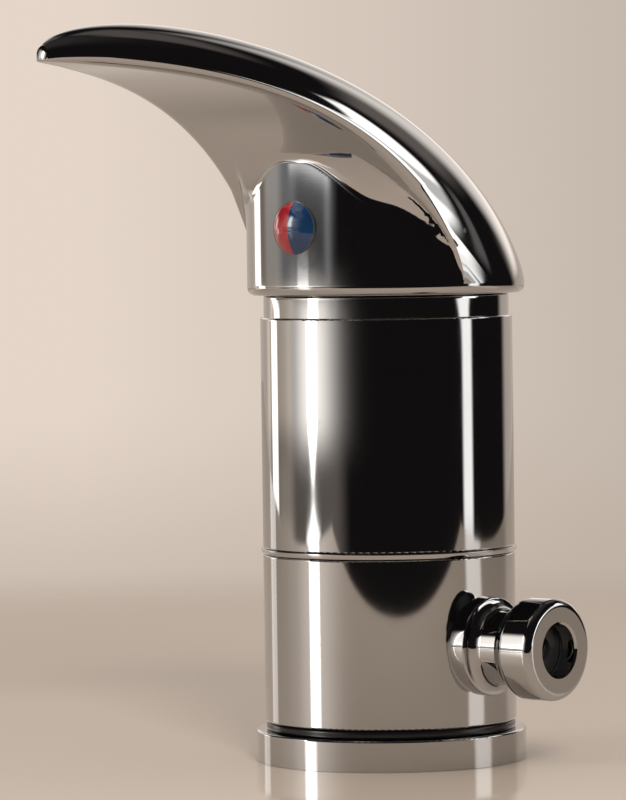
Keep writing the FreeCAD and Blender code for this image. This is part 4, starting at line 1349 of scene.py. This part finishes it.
@dataclass
class Studio:
    """Floor, surroundings and lamps of the photograph's studio.

    The table's sizes are in millimetres, those of the lamps in metres, and angles in degrees. The
    table ends at its front and side for what metal mirrors, and fades out for the camera.
    """

    viewpoint: Viewpoint = field(default_factory=Viewpoint)
    ambient: Colour = (0.6, 0.59, 0.57)
    table_radius: float = 2200.0
    table_corners: int = 96
    table_sink: float = 0.05
    table_front: float = 368.0
    front_soft: float = 2.0
    table_side: float = 640.0
    side_soft: float = 4.0
    table_turn: float = 7.7
    fade_start: float = 300.0
    fade_end: float = 520.0
    table_colour: Colour = (0.58, 0.478, 0.4)
    clouded: float = 0.93
    table_roughness: float = 0.07
    table_sheen: float = 0.5
    half_view: float = 3.8
    backdrop_lean: float = 1.08
    # Painted shade: the far table and the wall are darker to the right, as if lit from the left.
    far_table: Colour = (0.59, 0.5, 0.42)
    far_table_painted_shade: float = 0.13
    wall: Colour = (0.78, 0.67, 0.58)
    wall_painted_shade: float = 0.3
    # Painted shade: a soft dark line where the table meets the wall.
    shade_line_pitch: float = -5.1
    shade_line_soft: float = 0.5
    shade_line_dim: float = 0.18
    lamp_distance: float = 1.4
    aim_height: float = 0.06
    lamp_colour: Colour = (1.0, 0.97, 0.93)

    def surroundings(self) -> None:
        """Paints the world: a backdrop with painted shade for the camera, and the studio chrome mirrors.
        """
        world = bpy.data.worlds.new("studio")
        world.use_nodes = True
        bpy.context.scene.world = world
        graph = Graph(world.node_tree)
        along = graph.node("ShaderNodeTexCoord").outputs["Generated"]
        across = self.part_along(graph, along, self.viewpoint.right)
        facing = self.part_along(graph, along, self.viewpoint.towards)
        rise = self.part_along(graph, along, Vector((0, 0, 1)))
        pitch = graph.maths("ARCSINE", rise) * math.degrees(1)
        bearing = graph.maths("ARCTAN2", across, facing) * math.degrees(1)
        path = graph.node("ShaderNodeLightPath")
        seen = Signal(graph, path.outputs["Is Camera Ray"])
        mirrored = graph.maths("MAXIMUM", Signal(graph, path.outputs["Is Glossy Ray"]),
                               Signal(graph, path.outputs["Is Transmission Ray"]))
        plain = graph.mix(seen, self.ambient, self.backdrop(graph, pitch, across))
        studio = MirroredRoom(graph, pitch, bearing, facing * -1).paint()
        colour = graph.mix(mirrored, plain, studio)
        background = graph.node("ShaderNodeBackground", None, {"Color": colour, "Strength": 1.0})
        graph.node("ShaderNodeOutputWorld", None, {"Surface": background.outputs[0]})

    def part_along(self, graph: Graph, vector: bpy.types.NodeSocket, axis: Vector) -> Signal:
        """How far a direction goes along an axis."""
        dot = graph.node("ShaderNodeVectorMath", {"operation": "DOT_PRODUCT"},
                         {0: vector, 1: tuple(axis)})
        return Signal(graph, dot.outputs["Value"])

    def backdrop(self, graph: Graph, pitch: Signal, across: Signal) -> bpy.types.NodeSocket:
        """The beige wall behind the mixer, over the far end of the table.

        Both carry painted shade, darker to the right, and a soft line of painted shade where the table
        ends.

        Args:
            graph: The world's graph.
            pitch: Height of the direction in degrees.
            across: How far the direction goes to the picture's right.

        Returns:
            The colour.
        """
        aside = (across / (2 * math.sin(math.radians(self.half_view))) + 0.5) * self.backdrop_lean
        # Painted shade: each tone is mixed towards a darker copy of itself to the right.
        table = graph.mix(aside, self.far_table, dimmed(self.far_table, self.far_table_painted_shade))
        wall = graph.mix(aside, self.wall, dimmed(self.wall, self.wall_painted_shade))
        colour = graph.mix(pitch.ramp(-4.9, -1.9), table, wall)
        # Painted shade: a soft dark line where the table ends.
        line = pitch.glow(self.shade_line_pitch, self.shade_line_soft) * self.shade_line_dim
        return graph.mix(line, colour, (0, 0, 0))

    def table(self) -> bpy.types.Object:
        """The pale table top that the mixer stands on.

        Returns:
            The floor, which isn't part of the mixer.
        """
        bpy.ops.object.select_all(action="DESELECT")
        bpy.ops.mesh.primitive_circle_add(
            vertices=self.table_corners, radius=self.table_radius * MM, fill_type="NGON",
            location=(0, 0, -self.table_sink * MM))
        floor = bpy.context.active_object
        floor.name = "table_top"
        bpy.ops.object.transform_apply(location=True, rotation=True, scale=True)
        floor.data.materials.append(self.table_finish())
        return floor

    def table_finish(self) -> bpy.types.Material:
        """The table's satin paint, which fades out at a distance and ends where metal looks past it.

        Returns:
            The material.
        """
        material = bpy.data.materials.new("table_top")
        material.use_nodes = True
        graph = Graph(material.node_tree)
        where = graph.node("ShaderNodeTexCoord").outputs["Object"]
        tilt = Matrix.Rotation(math.radians(self.table_turn), 3, "Z")
        forward = self.part_along(graph, where, tilt @ self.viewpoint.towards)
        sideways = self.part_along(graph, where, tilt @ self.viewpoint.right)
        fine = graph.noise(where, scale=900)
        cloud = graph.noise(where, scale=9)
        colour = graph.mix(cloud * 0.35 + fine * 0.15, self.table_colour,
                           tuple(self.clouded * part for part in self.table_colour))
        diffuse = graph.node("ShaderNodeBsdfDiffuse", None, {"Color": colour})
        sheen = graph.node("ShaderNodeBsdfGlossy", None, {
            "Color": (1, 1, 1), "Roughness": self.table_roughness})
        grazing = Signal(graph, graph.node("ShaderNodeFresnel", None, {"IOR": 1.45}).outputs[0])
        top = graph.node("ShaderNodeMixShader", None, {
            0: grazing * self.table_sheen, 1: diffuse.outputs[0], 2: sheen.outputs[0]})
        out = graph.maths("SQRT", self.part_along(graph, where, Vector((1, 0, 0))) ** 2
                          + self.part_along(graph, where, Vector((0, 1, 0))) ** 2)
        path = graph.node("ShaderNodeLightPath")
        seen = Signal(graph, path.outputs["Is Camera Ray"])
        mirrored = Signal(graph, path.outputs["Is Glossy Ray"])
        past_front = forward.ramp((self.table_front - self.front_soft) * MM,
                                  (self.table_front + self.front_soft) * MM)
        past_side = sideways.size().ramp((self.table_side - self.side_soft) * MM,
                                         (self.table_side + self.side_soft) * MM)
        past = graph.maths("MAXIMUM", past_front, past_side)
        fade = out.ramp(self.fade_start * MM, self.fade_end * MM)
        clear = graph.node("ShaderNodeBsdfTransparent")
        surface = graph.node("ShaderNodeMixShader", None, {
            0: graph.maths("MAXIMUM", seen * fade, mirrored * past),
            1: top.outputs[0], 2: clear.outputs[0]})
        graph.node("ShaderNodeOutputMaterial", None, {"Surface": surface.outputs[0]})
        return material

    def lamps(self) -> None:
        """The soft lamps that light the table and cast the mixer's shadow on it."""
        self.lamp("front_lamp", bearing=11, rise=30, size=0.32, watts=11)
        self.lamp("left_lamp", bearing=-72, rise=24, size=0.5, watts=4)

    def lamp(self, name: str, bearing: float, rise: float, size: float, watts: float) -> None:
        """One square area lamp, aimed at the mixer, that only lights what isn't a mirror.

        Args:
            name: The lamp's name.
            bearing: Degrees to the camera's right, seen from the mixer.
            rise: Degrees above the table.
            size: The lamp's side in metres.
            watts: Its power.
        """
        data = bpy.data.lights.new(name, "AREA")
        data.energy = watts
        data.size = size
        data.color = self.lamp_colour
        made = bpy.data.objects.new(name, data)
        bpy.context.scene.collection.objects.link(made)
        turn = math.radians(bearing)
        level = self.viewpoint.towards * math.cos(turn) + self.viewpoint.right * math.sin(turn)
        climb = math.radians(rise)
        away = level * math.cos(climb) + Vector((0, 0, math.sin(climb)))
        made.location = away * self.lamp_distance + Vector((0, 0, self.aim_height))
        made.rotation_mode = "QUATERNION"
        made.rotation_quaternion = (-away).to_track_quat("-Z", "Y")
        made.visible_glossy = False
        made.visible_camera = False

    def build(self) -> None:
        """Makes the whole stage and looks at it through the photograph's camera."""
        self.surroundings()
        self.table()
        self.lamps()
        self.viewpoint.camera()
        bpy.context.scene.view_settings.view_transform = "Standard"


def main() -> None:
    """Builds and dresses the mixer group by group, then its stage."""
    logging.basicConfig(level=logging.INFO, format="%(name)s: %(message)s")
    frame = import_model()
    for group in (Mount(), Collar(), Barrel(), Cartridge(), Lever()):
        for piece in group.dress(frame["nodes"]):
            LOG.info("%s: %s", type(group).__name__, piece.name)
    Studio().build()


if __name__ == "__main__":
    main()
